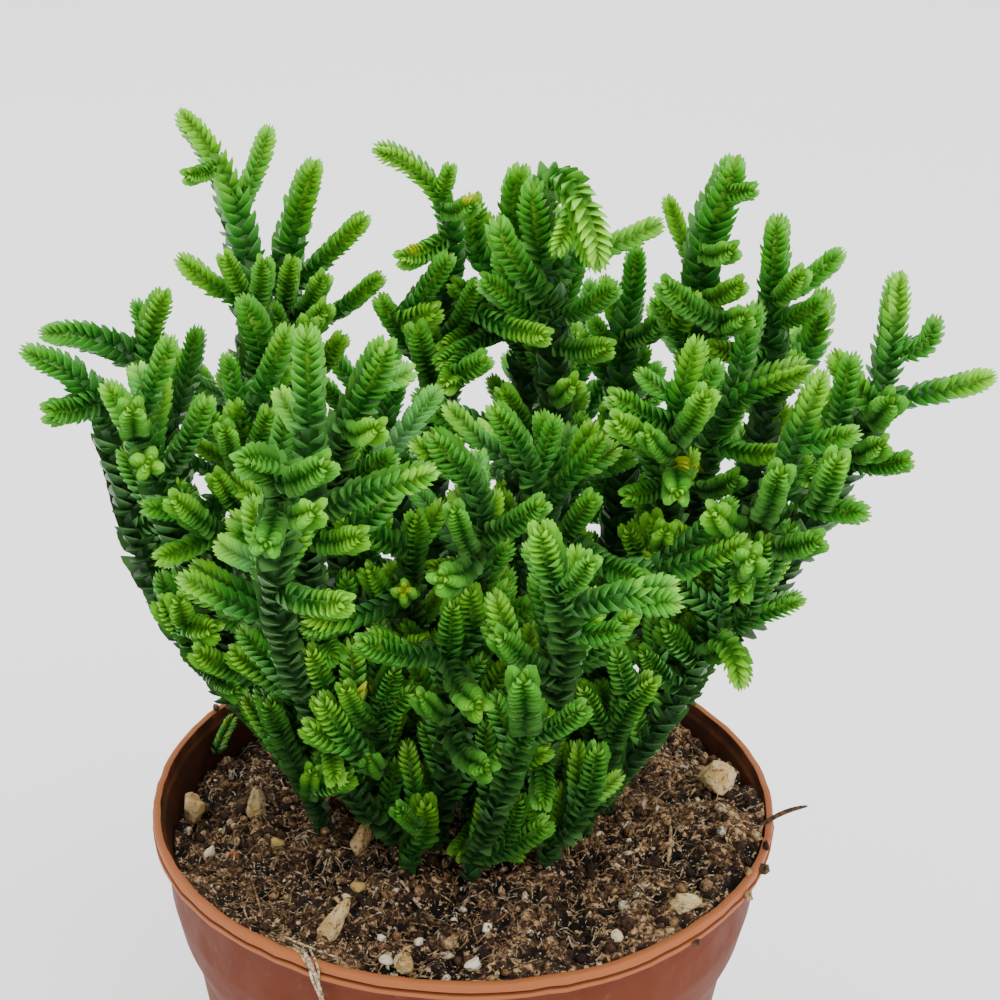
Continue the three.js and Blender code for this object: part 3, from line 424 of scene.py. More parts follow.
# Each size of clod: how far apart they are and how tall they stand.
CLODS = ((11.0, 0.9), (6.0, 1.7), (3.1, 1.5), (1.5, 0.9), (0.9, 0.35))
CRUMBS = 2600
CRUMB_LEAST = 0.5
CRUMB_SPREAD = 2.1
CRUMB_RARITY = 3.4
CRUMB_RISE = 0.2
CRUMB_MARGIN = 0.6
FIBRES = 3800
FIBRE_STEPS = 5
FIBRE_SIDES = 3
FIBRE_LEAST = 1.2
FIBRE_SPREAD = 5.5
FIBRE_RARITY = 2.2
FIBRE_BEND = 0.7
FIBRE_RADII = (0.06, 0.2)
FIBRE_LIFTS = (0.1, 1.1)
FIBRE_MARGINS = (3.0, 0.5)
FIBRE_PALE = (0.25, 1)
FIBRE_PALE_CURVE = 0.6
FIBRE_ARCH_FROM = 0.3
STRAND_SWELL = 0.4
ODD_WAY = (0.13, 0.21, 0.97)
SOIL_SEED = 11
CLOD_SEED = 20
PEAT_TONES = ((0, 9, 6, 4), (0.32, 34, 24, 17), (0.62, 98, 69, 46), (0.85, 196, 152, 106), (1, 244, 218, 176))
# Painted shade for the creases between the clods.
CREASE_PAINTED_SHADE = (14, 9, 6)
STRAND_STRAW = (222, 180, 130)
SPECK_PALE = (244, 228, 198)
CRUMB_TONES = ((0, 40, 27, 18), (0.4, 90, 62, 41), (0.66, 160, 120, 80), (0.86, 224, 184, 134),
               (1, 246, 230, 200))
CRUMB_DARK = (26, 16, 10)

chance = np.random.default_rng(SOIL_SEED)
soil_edge = COLLAR_FOOT_RADIUS - POT_WALL - SEAT_GAP


def plain_soil(x, y):
    """The height of the root ball's plain surface: a slope, a mound, a bank and long low lumps."""
    slope = -SOIL_DROP - SOIL_RISE_FRONT * y + SOIL_RISE_RIGHT * x
    mound = MOUND_HEIGHT * np.exp(-(x ** 2 + y ** 2) / MOUND_SPREAD)
    bank = BANK_HEIGHT * np.exp(-((x - BANK_AT[0]) ** 2 + (y - BANK_AT[1]) ** 2) / BANK_SPREAD)
    lumps = LUMP_HEIGHT * np.sin(LUMP_RATE_X * x + LUMP_SHIFT) * np.cos(LUMP_RATE_Y * y)
    return POT_HEIGHT + slope + mound + bank + lumps


def soil_relief(x, y):
    """The clods of the surface, of five sizes: all but the widest stand up sharply from creases."""
    relief = 0
    for number, (size, tall) in enumerate(CLODS):
        bumps = lattice_noise(x, y, size, CLOD_SEED + number)
        relief = relief + tall * (bumps if number == 0 else SOIL_CREASE - np.abs(bumps))
    return relief


def soil_height(x, y):
    """The height of the soil with its clods."""
    return plain_soil(x, y) + soil_relief(x, y)


def soil_colour(start):
    """Peat with painted shade in creases, painted light on clod tops, paler to the right, pale strands,
    specks.
    """
    relief, fine, mid = start.attribute("relief"), start.noise(1300, 4, 0.7), start.noise(480, 3, 0.65)
    rightward_paling = start.place(0) * 0.8 + start.noise(70, 2) * 0.4
    # Clod tops paler and creases dark: painted light and shade by the clods' height.
    peat_paleness = (relief * 0.1 + fine * 1.3 + mid * 0.6 + rightward_paling - 0.71).fade(0.0, 1.0)
    crease_shaded = relief.fade(-0.5, 0.75).paint(CREASE_PAINTED_SHADE, peat_paleness.ramp(*PEAT_TONES))
    strand = start.noise(800, 2, 0.4).fade(0.58, 0.61) * fine.fade(0.45, 0.55)
    dry = strand.paint(crease_shaded, STRAND_STRAW)
    return start.noise(2000, 2, 0.5).fade(0.67, 0.7).paint(dry, SPECK_PALE)


peat_rough, peat_bump = grain(900, 2, span=0.2, least=0.8), grain(1500, 5, 0.75)
peat = finish_of("peat", soil_colour, peat_rough, 0.25, peat_bump, 0.0009)

ring_share = np.linspace(0, 1, SOIL_RINGS)[::-1]
soil_turn = turns_of(SOIL_SIDES)
edge_x, edge_y = circled(SOIL_TOP_RADIUS, soil_turn)
banked = np.clip((plain_soil(edge_x, edge_y) - BANKED_FROM) / BANKED_OVER, 0, 1)
top_radius = SOIL_TOP_RADIUS + banked * (LIP_INSIDE - BANK_GAP - SOIL_TOP_RADIUS)
top_x, top_y = circled(top_radius * ring_share[:, None], soil_turn)
soil_top = np.stack([top_x, top_y, soil_height(top_x, top_y)], -1).reshape(-1, 3)
inset = POT_WALL + SEAT_GAP
seat = POT_FLOOR + SEAT_GAP
soil_side, _ = turned(np.array([
    [0, seat], [BASE_RADIUS - inset, seat], [TAPER_TOP_RADIUS - inset, TAPER_TOP],
    [SHOULDER_RADIUS - inset, SHOULDER], [COLLAR_FOOT_RADIUS - inset, COLLAR_FOOT]]), SOIL_SIDES)
below_top = np.minimum(plain_soil(edge_x, edge_y) - SOIL_SKIRT_DROP, lip_foot)
skirt = np.stack([edge_x * SOIL_SKIRT_SHARE, edge_y * SOIL_SKIRT_SHARE, below_top], -1)
soil_side = np.concatenate([soil_side, skirt])
soil_points = np.concatenate([soil_side, soil_top])
relief = np.concatenate([np.zeros(len(soil_side)), soil_relief(top_x, top_y).ravel()])
soil_faces = grid_triangles(len(soil_points) // SOIL_SIDES, SOIL_SIDES)
soil = mesh_piece("peat_root_ball", peat, soil_points, soil_faces, {"relief": relief})
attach(soil, "root")
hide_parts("soil")


def spun_frames(count, rng):
    """Random turns for count small things, as matrices."""
    turns, _ = np.linalg.qr(rng.normal(size=(count, 3, 3)))
    turns[np.linalg.det(turns) < 0] *= -1
    return turns


BLOB_KNOBS = (0.6, 1.25)
BLOB_SQUASH = (0.6, 1.2)
GOLDEN = (1 + 5 ** 0.5) / 2
BLOB_POINTS = np.array([
    (-1, GOLDEN, 0), (1, GOLDEN, 0), (-1, -GOLDEN, 0), (1, -GOLDEN, 0), (0, -1, GOLDEN), (0, 1, GOLDEN),
    (0, -1, -GOLDEN), (0, 1, -GOLDEN), (GOLDEN, 0, -1), (GOLDEN, 0, 1), (-GOLDEN, 0, -1), (-GOLDEN, 0, 1),
]) / math.hypot(1, GOLDEN)
BLOB_FACES = np.array([(0, 11, 5), (0, 5, 1), (0, 1, 7), (0, 7, 10), (0, 10, 11), (1, 5, 9), (5, 11, 4),
                       (11, 10, 2), (10, 7, 6), (7, 1, 8), (3, 9, 4), (3, 4, 2), (3, 2, 6), (3, 6, 8),
                       (3, 8, 9), (4, 9, 5), (2, 4, 11), (6, 2, 10), (8, 6, 7), (9, 8, 1)])


def blobs(places, sizes, rng):
    """Rough little lumps: the twelve points of an icosahedron, each pushed in or out, turned and sized."""
    count = len(places)
    knobs = rng.uniform(*BLOB_KNOBS, (count, len(BLOB_POINTS), 1))
    shape = BLOB_POINTS * knobs * rng.uniform(*BLOB_SQUASH, (count, 1, 3))
    turned_shape = np.einsum("nij,nkj->nki", spun_frames(count, rng), shape)
    return repeated(turned_shape * sizes[:, None, None] / 2 + places[:, None, :], BLOB_FACES)


def on_soil(count, rng, reach):
    """Random places on the soil, even over its area."""
    out = reach * np.sqrt(rng.uniform(0, 1, count))
    return circled(out, rng.uniform(0, 2 * math.pi, count))


crumb_x, crumb_y = on_soil(CRUMBS, chance, soil_edge - CRUMB_MARGIN)
crumb_size = CRUMB_LEAST + CRUMB_SPREAD * chance.uniform(0, 1, CRUMBS) ** CRUMB_RARITY
crumb_z = soil_height(crumb_x, crumb_y) + CRUMB_RISE * crumb_size
crumb_points, crumb_faces = blobs(np.stack([crumb_x, crumb_y, crumb_z], -1), crumb_size, chance)
crumb_tint = np.repeat(chance.uniform(0, 1, CRUMBS), len(BLOB_POINTS))


def crumb_colour(start):
    """Peat or straw as the piece's tint says, darker in patches."""
    lump = start.attribute("tint").ramp(*CRUMB_TONES)
    return start.noise(1400, 3, 0.7).fade(0.3, 0.7).paint(CRUMB_DARK, lump)


crumb_finish = finish_of("peat_crumbs", crumb_colour, peat_rough, 0.25, peat_bump, 0.0004)
crumbs = mesh_piece("peat_crumbs", crumb_finish, crumb_points, crumb_faces, {"tint": crumb_tint})
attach(crumbs, "root")


def unit(vectors):
    """The same directions with lengths of one."""
    return vectors / np.linalg.norm(vectors, axis=-1, keepdims=True)


def leaning(turn, first, second):
    """Directions turned that far from a first one toward a second one square to it."""
    return np.cos(turn)[..., None] * first + np.sin(turn)[..., None] * second


def strands(lines, radii, sides):
    """Thin tubes along lines of points, closed at both ends, thickest in the middle."""
    lines = np.asarray(lines, float)
    steps = lines.shape[1]
    ahead = unit(np.gradient(lines, axis=1))
    side = unit(np.cross(ahead, ODD_WAY))
    ring = leaning(turns_of(sides), side[:, :, None], np.cross(ahead, side)[:, :, None])
    swell = np.sin(np.linspace(0.0, math.pi, steps)) ** STRAND_SWELL
    points = lines[:, :, None] + ring * np.asarray(radii)[:, None, None, None] * swell[None, :, None, None]
    return repeated(points, grid_triangles(steps, sides))


fibre_starts = np.stack(on_soil(FIBRES, chance, soil_edge - FIBRE_MARGINS[0]))
fibre_turn = chance.uniform(0, 2 * math.pi, (FIBRES, 1))
fibre_bend = chance.normal(0, FIBRE_BEND, (FIBRES, 1)) * np.linspace(-1, 1, FIBRE_STEPS)
fibre_length = FIBRE_LEAST + FIBRE_SPREAD * chance.uniform(0, 1, (FIBRES, 1)) ** FIBRE_RARITY
fibre_steps = np.stack(circled(fibre_length / FIBRE_STEPS, fibre_turn + fibre_bend))
fibre_runs = fibre_starts[..., None] + np.cumsum(fibre_steps, -1)
fibre_runs /= np.maximum(1, np.hypot(*fibre_runs) / (soil_edge - FIBRE_MARGINS[1]))
fibre_arch = np.sin(np.linspace(FIBRE_ARCH_FROM, math.pi, FIBRE_STEPS))
fibre_lift = chance.uniform(*FIBRE_LIFTS, (FIBRES, 1)) * fibre_arch + FIBRE_LIFTS[0]
fibre_lines = np.stack([*fibre_runs, soil_height(*fibre_runs) + fibre_lift], -1)
fibre_points, fibre_faces = strands(fibre_lines, chance.uniform(*FIBRE_RADII, FIBRES), FIBRE_SIDES)
fibre_pale = chance.uniform(*FIBRE_PALE, FIBRES) ** FIBRE_PALE_CURVE
fibre_tint = np.repeat(fibre_pale, FIBRE_STEPS * FIBRE_SIDES)
fibres = mesh_piece("peat_fibres", crumb_finish, fibre_points, fibre_faces, {"tint": fibre_tint})
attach(fibres, "root")


# The stones: pale limestone grit in the peat. Seven larger ones stand for the solid ones and lie partly sunk,
# and small grit and white specks lie between them.

# Each stone: its node, its place (x, y), its size, its turn and tilt in degrees and its sunk share.
STONES = [
    ("stone_left", (-46.6, -1.5), (4.4, 4.0, 7.6), 20, 12, 0.3),
    ("stone_left_upright", (-35.5, -2.0), (3.5, 3.0, 7.4), -15, 8, 0.3),
    ("stone_by_stem", (-16.5, -13.5), (4.2, 4.0, 6.8), 35, 14, 0.3),
    ("stone_front_chip", (-19.0, -35.0), (4.0, 8.6, 3.6), -50, 36, 0.2),
    ("stone_front_rim", (-7.5, -43.5), (3.2, 3.0, 3.4), 0, 0, 0.4),
    ("stone_right", (43.0, 3.0), (7.9, 6.3, 6.0), -25, 6, 0.34),
    ("stone_front_right", (34.5, -31.0), (5.4, 3.6, 3.2), 15, 0, 0.4),
]
STONE_LIFT = 0.9
STONE_ROWS = 32
STONE_COLUMNS = 44
STONE_WAVES = 40
STONE_WAVE_RATES = (3, 16)
STONE_ROUGHNESS = 0.075
STONE_SWELL = 1.12
STONE_FACETS = 11
FACET_FROM = (0.5, 0.8)
FACET_FLATNESS = 0.9
STONE_SEED = 40
STONE_TAN = (204, 164, 98)
STONE_CREAM = (240, 218, 168)
PIT_BROWN = (116, 82, 46)
SOIL_DUST = (84, 60, 40)


def stone_colour(start):
    """Warm pale stone with brown pits, and soil dust in patches."""
    body = start.noise(260, 4, 0.6).fade(0.35, 0.7).paint(STONE_TAN, STONE_CREAM)
    pits = start.noise(1000, 4, 0.75).fade(0.54, 0.62) * 0.85
    dust = start.noise(520, 3, 0.6).fade(0.6, 0.68) * 0.85
    return dust.paint(pits.paint(body, PIT_BROWN), SOIL_DUST)


stone_rough, stone_bump = grain(500, 2, span=0.2, least=0.72), grain(1100, 5, 0.7)
limestone = finish_of("limestone", stone_colour, stone_rough, 0.3, stone_bump, 0.001)


def stone_shape(size, turn, tilt, rng, rows=STONE_ROWS, columns=STONE_COLUMNS):
    """A ball pushed in and out by waves in random directions, a few faces of it cut flat, then sized."""
    polar = np.linspace(math.pi, 0, rows)
    ball, faces = turned(np.stack([np.sin(polar), np.cos(polar)], -1), columns)
    for cut in unit(rng.normal(size=(STONE_FACETS, 3))):
        past = np.maximum(0, ball @ cut - rng.uniform(*FACET_FROM))
        ball = ball - FACET_FLATNESS * past[:, None] * cut
    rates = np.linspace(*STONE_WAVE_RATES, STONE_WAVES)
    waves = rng.normal(size=(STONE_WAVES, 3)) * rates[:, None]
    rough = (np.sin(ball @ waves.T + rng.uniform(0, 2 * math.pi, STONE_WAVES)) / rates).sum(1)
    ball = ball * (STONE_SWELL + STONE_ROUGHNESS * rough[:, None]) * np.asarray(size) / 2
    tip, spin = math.radians(tilt), math.radians(turn)
    turned_stone = ball @ np.array(Matrix.Rotation(tip, 3, "X")).T @ np.array(Matrix.Rotation(spin, 3, "Z")).T
    return turned_stone, faces


for number, (name, (x, y), size, turn, tilt, sunk) in enumerate(STONES):
    points, faces = stone_shape(size, turn, tilt, np.random.default_rng(STONE_SEED + number))
    points += [x, y, plain_soil(x, y) + size[2] * (0.5 - sunk) + STONE_LIFT]
    stone = mesh_piece("fine_" + name, limestone, points, faces)
    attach(stone, "root")
    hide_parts(name)


# The leafy stems. Each is one rooted stem with its side shoots, and fleshy scale leaves sit on them in
# crossed pairs, so that they stand in four ranks. Leaf pairs close up toward the tips, young and bright.

EYE = np.array([4.8, -234.4, 149.9 + POT_HEIGHT])
SIGHT_PITCH = math.radians(22.5)
SIGHT_ROLL = math.radians(-1.5)
RIM_MIDDLE = np.array([0, 0, POT_HEIGHT])
level_up = np.array([0, math.sin(SIGHT_PITCH), math.cos(SIGHT_PITCH)])
level_right = np.array([1.0, 0, 0])
sight_ahead = np.array([0, math.cos(SIGHT_PITCH), -math.sin(SIGHT_PITCH)])
sight_right = level_right * math.cos(SIGHT_ROLL) - level_up * math.sin(SIGHT_ROLL)
sight_up = level_up * math.cos(SIGHT_ROLL) + level_right * math.sin(SIGHT_ROLL)

# Each stem: its foot in the soil (x, y), then sighted points with the stem's width there (right, up, y,
# width) up to the tip. Each shoot has the sighted place that it leaves from, then its own points. Right and
# up are where a point shows on a sheet through the middle of the rim, square to the line of sight.
STEMS = [
    ("top_left", (-15, 11), [
        (-36, 62, 0, 7.4), (-35, 76, 3, 7.8), (-35.5, 87, 4, 7.8), (-38.5, 97, 6, 7.4),
        (-41.5, 106, 6, 5.4), (-49, 115.5, 4, 4.4)], [
        [(-42, 105), (-48, 104, -4, 3.4)], [(-38, 98), (-33, 113, 8, 4.4)],
        [(-35, 82), (-49, 90.5, 0, 4.6)], [(-35, 83), (-40.5, 91, -6, 3.8)],
        [(-35.5, 79), (-35.5, 89, -9, 4)], [(-36, 66), (-36, 76, -8, 7), (-39, 84, -8, 4.6)],
        [(-32, 46), (-30, 60, 12, 7.4), (-30.5, 76, 15, 7.4), (-31, 87, 16, 7.4), (-28, 99, 14, 6.6),
         (-25, 107, 12, 4.6)],
        [(-30, 84), (-22, 92, 12, 4.5), (-16.5, 97.5, 10, 4.4)], [(-30, 80), (-29, 89, 4, 4)],
        [(-30, 79), (-25, 87.5, 2, 4)], [(-30, 77), (-13.7, 86.5, 8, 4)], [(-30, 74), (-24, 82, -2, 4.4)],
        [(-30, 72), (-26.5, 80, -10, 4.4)], [(-30, 67), (-20.5, 77, 6, 4.4)]]),
    ("left_outer", (-26, 4), [
        (-40, 17.5, 0, 7.2), (-51.5, 31, -4, 7.4), (-57, 45, -6, 7.4), (-60, 60, -6, 7.4),
        (-65, 69.5, -7, 6.6), (-76.5, 74.5, -10, 4.4)], [
        [(-63, 67), (-72.5, 63.5, -16, 5.6)], [(-43, 21), (-49, 32.5, -28, 4.8)],
        [(-57, 50), (-47, 59, 2, 4.8)], [(-57, 40), (-47, 44, -2, 5)],
        [(-35, 11), (-44, 31, -14, 7), (-52, 48.5, -20, 7.4), (-56, 60.5, -22, 6.6), (-62, 69, -24, 4.4)],
        [(-57, 62), (-50, 77, -22, 4.5)], [(-57, 62), (-57, 65, -37, 4.8)],
        [(-55, 58), (-54, 55, -39, 4.8)], [(-53, 52), (-43, 67.5, -24, 4.6)]]),
    ("left_upper", (-22, 14), [
        (-44, 38, 8, 7.4), (-50, 55, 8, 7.4), (-52.5, 69, 6, 7), (-54, 77, 4, 5.4), (-50.5, 85, 2, 4.8)], [
        [(-54, 76), (-56, 83.5, 7, 3.6)], [(-53.5, 73), (-64, 77, 2, 6.6), (-73, 77, 0, 4.6)],
        [(-51, 60), (-46, 78.5, 12, 4.6)]]),
    ("left_middle", (-17, 1), [
        (-34, 31, -8, 7.2), (-37, 45, -12, 7.2), (-38.5, 57, -14, 6.4), (-40, 66, -16, 4.2)], [
        [(-38.5, 56), (-45, 63.5, -22, 3.8)], [(-38, 55), (-41.5, 61.5, -30, 4)],
        [(-38, 54), (-33.5, 64.5, -22, 4)], [(-37.5, 47), (-43, 53, -28, 4.2)],
        [(-38.5, 58), (-37.5, 76, -8, 4.1)], [(-37, 43), (-50.5, 49.5, -34, 4.6)]]),
    ("near_left_tall", (-9, -8), [
        (-27, 24.5, -26, 6.4), (-26.5, 45, -38, 6.4), (-26, 59, -44, 6), (-27, 79, -46, 5)], [
        [(-27, 42), (-16.8, 43, -48, 4.6)], [(-26.5, 46), (-17, 50, -47, 4.8), (-4, 53.6, -48, 4.7)],
        [(-26, 60), (-32, 68, -36, 4)]]),
    ("near_left", (-11, -13), [
        (-28, 14, -30, 5.6), (-33, 31, -44, 6.2), (-32, 42, -50, 6.2), (-31, 54, -54, 5.4),
        (-39.5, 55.5, -62, 4.8)], [
        [(-31, 53), (-23, 54.5, -66, 4.8)], [(-31, 50), (-33, 41, -70, 4.2)],
        [(-31.5, 47), (-26, 47.5, -68, 4.2)], [(-33, 33), (-19, 31, -54, 4.7)]]),
    ("low_left", (-24, -8), [
        (-29, 3, -14, 5), (-34, 14.5, -24, 5)], [
        [(-27, -1), (-22, 6, -26, 4)]]),
    ("near_centre_tall", (-9, 1), [
        (-19, 28, -20, 6.4), (-22, 45, -30, 6.4), (-21.5, 57, -37, 6.4), (-12.3, 76, -44, 5.1)], [
        [(-20, 60), (-14, 61, -52, 4.1)], [(-21, 50), (-12, 57, -38, 4.4)], [(-16, 69), (-8, 71, -36, 4)]]),
    ("centre", (1, -7), [
        (-0.5, 17.5, -18, 6.2), (0.5, 31, -26, 6.2), (2.6, 43, -32, 6), (2, 51, -34, 5.4),
        (-7, 60, -38, 4.8)], [
        [(2.6, 42), (14, 48.5, -42, 4.6)], [(2, 40), (-2, 47.5, -46, 4)], [(2, 39), (-4.5, 35, -52, 4.8)],
        [(2.6, 49), (4, 58, -24, 4.4)],
        [(-0.5, 6), (-8, 16, -13, 6), (-10.5, 31, -20, 6.2), (-9.5, 38, -24, 4.8), (-8.5, 46.5, -28, 4.2)],
        [(-10, 33), (-11, 33, -38, 3.8)], [(-10.5, 29), (-17, 38, -30, 4.2)],
        [(-10.5, 25), (-3, 34, -14, 4.4)]]),
    ("near_centre", (9, -13), [
        (15, 10.8, -28, 6), (17, 24.5, -42, 6.2), (16.5, 31, -47, 6.2), (12.5, 44.5, -54, 5.2)], [
        [(16.8, 29), (27, 32, -52, 5), (37, 34, -50, 4.9)], [(16, 33), (22, 39, -56, 3.8)],
        [(17, 25), (28, 26, -46, 4.2)], [(16, 17), (6, 23, -50, 4.6)]]),
    ("front_long", (2, -22), [
        (3.4, -9.8, -26, 4.8), (6, -2.9, -30, 5.2), (8.6, 3.9, -34, 5.6), (10.3, 10.8, -38, 5.6),
        (12.5, 19, -42, 5)], [
        [(11, 13), (9.5, 20, -58, 5.6)], [(10.5, 10), (20, 15, -46, 4.4)]]),
    ("front_right_short", (14, -19), [
        (18.5, -8, -22, 5), (21.5, -2, -25, 5.2), (23, 7, -28, 5)], [
        [(21, -3), (27, 3, -20, 3.8)]]),
    ("front_middle", (-4, -14), [
        (-4, -3, -20, 5.2), (-2.6, 10.8, -26, 5.8), (-2.6, 22.8, -32, 5.6), (-1.7, 32, -36, 4.2)], [
        [(-2.6, 23), (-19, 24.5, -42, 4.6)], [(-2.6, 21), (4.3, 13, -52, 5)],
        [(-2.6, 9), (4.3, 2, -46, 4.7)], [(-2.6, 12), (-8, 15, -40, 4)]]),
    ("front_open", (-8, -20), [
        (-6.5, -8.5, -22, 5.4), (-6.3, -1, -25, 6)], [
        [(-6.5, -6), (-11, -3, -30, 3.8)]]),
    ("front_left", (-15, -7), [
        (-15.5, 4, -20, 5.2), (-16.5, 11, -26, 5.2), (-12.5, 20, -31, 4.2)], [
        [(-16, 10), (-21, 17, -36, 4)], [(-15.5, 3), (-17.5, 5, -32, 4)]]),
    ("top_centre", (-4, 10), [
        (-6, 45, 12, 7.2), (-5, 66, 12, 7.4), (-4, 78, 12, 7.6), (-3, 86, 12, 7.6), (-1, 94, 12, 6.2),
        (-3.4, 101.5, 12, 4.8), (-9.4, 107, 10, 4.2), (-15.5, 109, 8, 4)], [
        [(-4, 101), (-1.5, 106.5, 8, 3.6)], [(-2, 98), (2.5, 100, 0, 4)], [(-1, 94), (-11, 90, 0, 4.4)],
        [(-4, 76), (2.5, 86, 0, 4.2)], [(-5, 70), (-10.5, 77, 8, 4.6), (-14.5, 84.5, 6, 4.4)],
        [(-5, 67), (-8.5, 79, -2, 5.4)]]),
    ("top_centre_right", (4, 16), [
        (9.4, 42, 16, 7.4), (10.3, 62, 18, 7.4), (9.4, 78, 18, 7.4), (6.8, 91, 18, 6.8), (6, 99, 16, 6.6),
        (8, 106, 14, 5.6)], [
        [(8, 82), (1, 92, 16, 5.2), (2.5, 101, 14, 5)], [(9.4, 78), (2, 76, 4, 4), (-5.5, 71.5, -4, 4)],
        [(10, 66), (19, 74, 12, 4.4)]]),
    ("centre_right", (9, 5), [
        (15.5, 38, 4, 7.4), (15.4, 60.5, 4, 7.6), (15.5, 78, 2, 7.6), (13.5, 90, 2, 6.6), (13, 103, 0, 5.2),
        (18, 104, -5, 5.2), (20.5, 95, -9, 5.2), (23.5, 87, -12, 5)], [
        [(14, 88), (24, 91.5, 2, 4.6), (35, 96.5, 6, 4.4)], [(15, 84), (21, 96, 8, 4.4)],
        [(16, 80), (2.5, 87, -6, 4.4)], [(16.3, 79), (26.5, 85.5, -6, 4.2)],
        [(16.3, 76), (25.5, 75, -10, 4.4)], [(16, 68), (19, 69, -14, 4.4)], [(15.5, 58), (6, 68, -6, 4.4)],
        [(13, 22), (12.5, 34, -12, 6.6), (13, 45, -18, 6.6), (11, 52.5, -22, 5.6), (2.5, 64, -26, 4.7)],
        [(11.5, 50), (15.5, 63, -20, 4.1)], [(12.5, 47), (25, 60.5, -22, 4.3)],
        [(13, 40), (22, 50, -26, 4.4)], [(11, 52), (-4, 65, -14, 4.4)]]),
    ("right_rear_tall", (16, 15), [
        (26.5, 42, 18, 7.4), (27.4, 60.5, 20, 7.4), (26.5, 76, 20, 7), (28.6, 84.5, 22, 6),
        (29.4, 92.5, 22, 4.6)], [
        [(26.5, 77), (35, 80, 8, 4.6)], [(27, 66), (34, 72, 26, 5)], [(27, 66), (20, 78, 24, 4.6)]]),
    ("right_tall", (18, 6), [
        (38, 45, 6, 7.4), (40, 66, 4, 7.6), (40, 86, 4, 7.6), (40.2, 93, 4, 7.8), (43.3, 99.5, 2, 7.8),
        (46.4, 108, 0, 5.8)], [
        [(44, 101), (50, 102, -4, 3.8)], [(40.2, 91), (46, 92, -10, 4.2)],
        [(40, 84), (47.5, 85.5, -8, 4.2)], [(40, 80), (49, 81, -14, 4.4)],
        [(40, 85), (37, 93, 8, 3.8), (34.2, 100.5, 8, 3.8)], [(40, 72), (32.5, 84, -2, 4)]]),
    ("right_front_tall", (14, -4), [
        (31, 31, -8, 6.8), (35, 46.5, -14, 6.8), (36, 60.5, -18, 6.4), (40.2, 77, -18, 4.8)], [
        [(36, 60), (41.8, 67.5, -32, 4.9)], [(36, 58), (38.5, 48, -36, 4.9)],
        [(35.6, 56), (31, 60.5, -30, 4.2)], [(36, 61), (24, 66.5, -24, 4.6)], [(37, 66), (29, 71, -16, 4)],
        [(34, 42), (34.5, 44, -30, 4.4)]]),
    ("right_outer", (28, 8), [
        (45, 38, 4, 7.4), (51, 57, 2, 7.4), (53, 69, 0, 7), (53, 83, -2, 6.2), (53.6, 98, -4, 5)], [
        [(53, 83), (65.5, 91.5, -2, 4.5)], [(53, 82), (58.5, 88, -12, 4.3)],
        [(53, 79), (62.5, 83, -8, 4.2)], [(52, 66), (60, 74, 6, 7), (61.5, 85, 4, 4.8)],
        [(52, 64), (57, 74, -8, 4.4)], [(50, 54), (59, 62, 8, 5)],
        [(37, 22), (48, 28, -4, 7), (57, 41.5, -8, 7.4), (64, 53.5, -10, 7.4), (71, 65.5, -10, 6.6),
         (73, 76, -10, 5.6), (74.5, 88, -10, 4.8)],
        [(73, 74), (79, 74, -12, 4.6), (81, 80.5, -12, 4.5)],
        [(71, 65), (82, 67, -13, 4.9), (91.5, 70, -14, 4.7)], [(70, 64), (73.5, 65, -26, 5.4)],
        [(65, 55), (76, 56, -20, 4.4)], [(66, 57), (72, 60, -24, 4.4)],
        [(64, 53), (65, 62, -20, 4.8), (67, 74, -20, 4.6)], [(58, 43), (66, 50, 2, 5)]]),
    ("right_front", (24, -2), [
        (41, 24.5, -12, 6.8), (48, 41.5, -20, 6.8), (53, 50, -24, 6), (56.5, 59, -26, 5.4),
        (61.5, 71, -26, 4.7)], [
        [(53, 50), (69.5, 46, -32, 4.6)], [(50, 45), (54.5, 54.5, -40, 4.9)],
        [(49, 44), (40.2, 47.5, -38, 4.8)], [(48.5, 42), (61.5, 41.5, -38, 4.8)],
        [(47.5, 40), (49.5, 39, -46, 4.7)],
        [(33, 12), (37, 31, -3, 6.8), (40.2, 51, -6, 6.8), (42.3, 60.5, -8, 6), (46, 67, -10, 5),
         (60, 71.5, -14, 4.7)],
        [(42, 59), (55, 56.5, -16, 4.4)], [(40.4, 50), (48, 52, -20, 4.4)], [(40, 45), (33, 54, -4, 4.4)]]),
    ("low_right", (20, -11), [
        (34, 12, -11, 6.2), (40.5, 25, -14, 6), (46, 30, -18, 5), (58, 33.5, -22, 4.2)], [
        [(41, 25), (46, 25.5, -26, 5.2), (47.5, 17, -30, 5.2)], [(38, 19), (30, 24, -22, 4.4)],
        [(25, 0), (27, 12, -22, 5), (33, 19, -27, 4.4)], [(26, 8), (20, 17, -24, 4.2)]]),
]

# The stems of the far side: foot (x, y), then the tip from the middle of the rim (x, y, z).
FAR_STEMS = [
    ("rear_left", (-16, 21), (-52, 38, 56)),
    ("rear_centre_left", (-6, 20), (-20, 52, 60)),
    ("rear_centre", (3, 26), (8, 62, 50)),
    ("rear_centre_right", (12, 22), (18, 52, 68)),
    ("rear_right", (23, 18), (46, 46, 60)),
]
FAR_WIDTH = 7.4
FAR_TIP_WIDTH = 4.4
FAR_LIFT = 0.55
FAR_BOW = 0.12
FAR_SHOOTS = 3
FAR_SHOOT_FROM = (0.5, 0.9)
FAR_SHOOT_TURN = (0.5, 1.3)
FAR_SHOOT_REACH = (16, 23)
FAR_SHOOT_RISE = (5, 13)
FAR_SHOOT_WIDTH = (3.9, 4.5)
FOOT_DEPTH = 11.0
FOOT_COLLAR = 1.8
LOW_WIDTH = 5.0
SHOOT_BOW = 0.1
STEP = 2.0
CLEARANCE = 0.5
JOINT_STRETCH = 8.0
WATCHED = 10.0
PUSH_SHARE = 0.35
RIM_BELT = 6.0
GROUND_BELT = 3.0
BEND_ROUNDS = 160
DRAW_FACTOR = 16807
DRAW_SPAN = 2147483647
FAR_SEED = 7
EASE_ROUNDS = 3


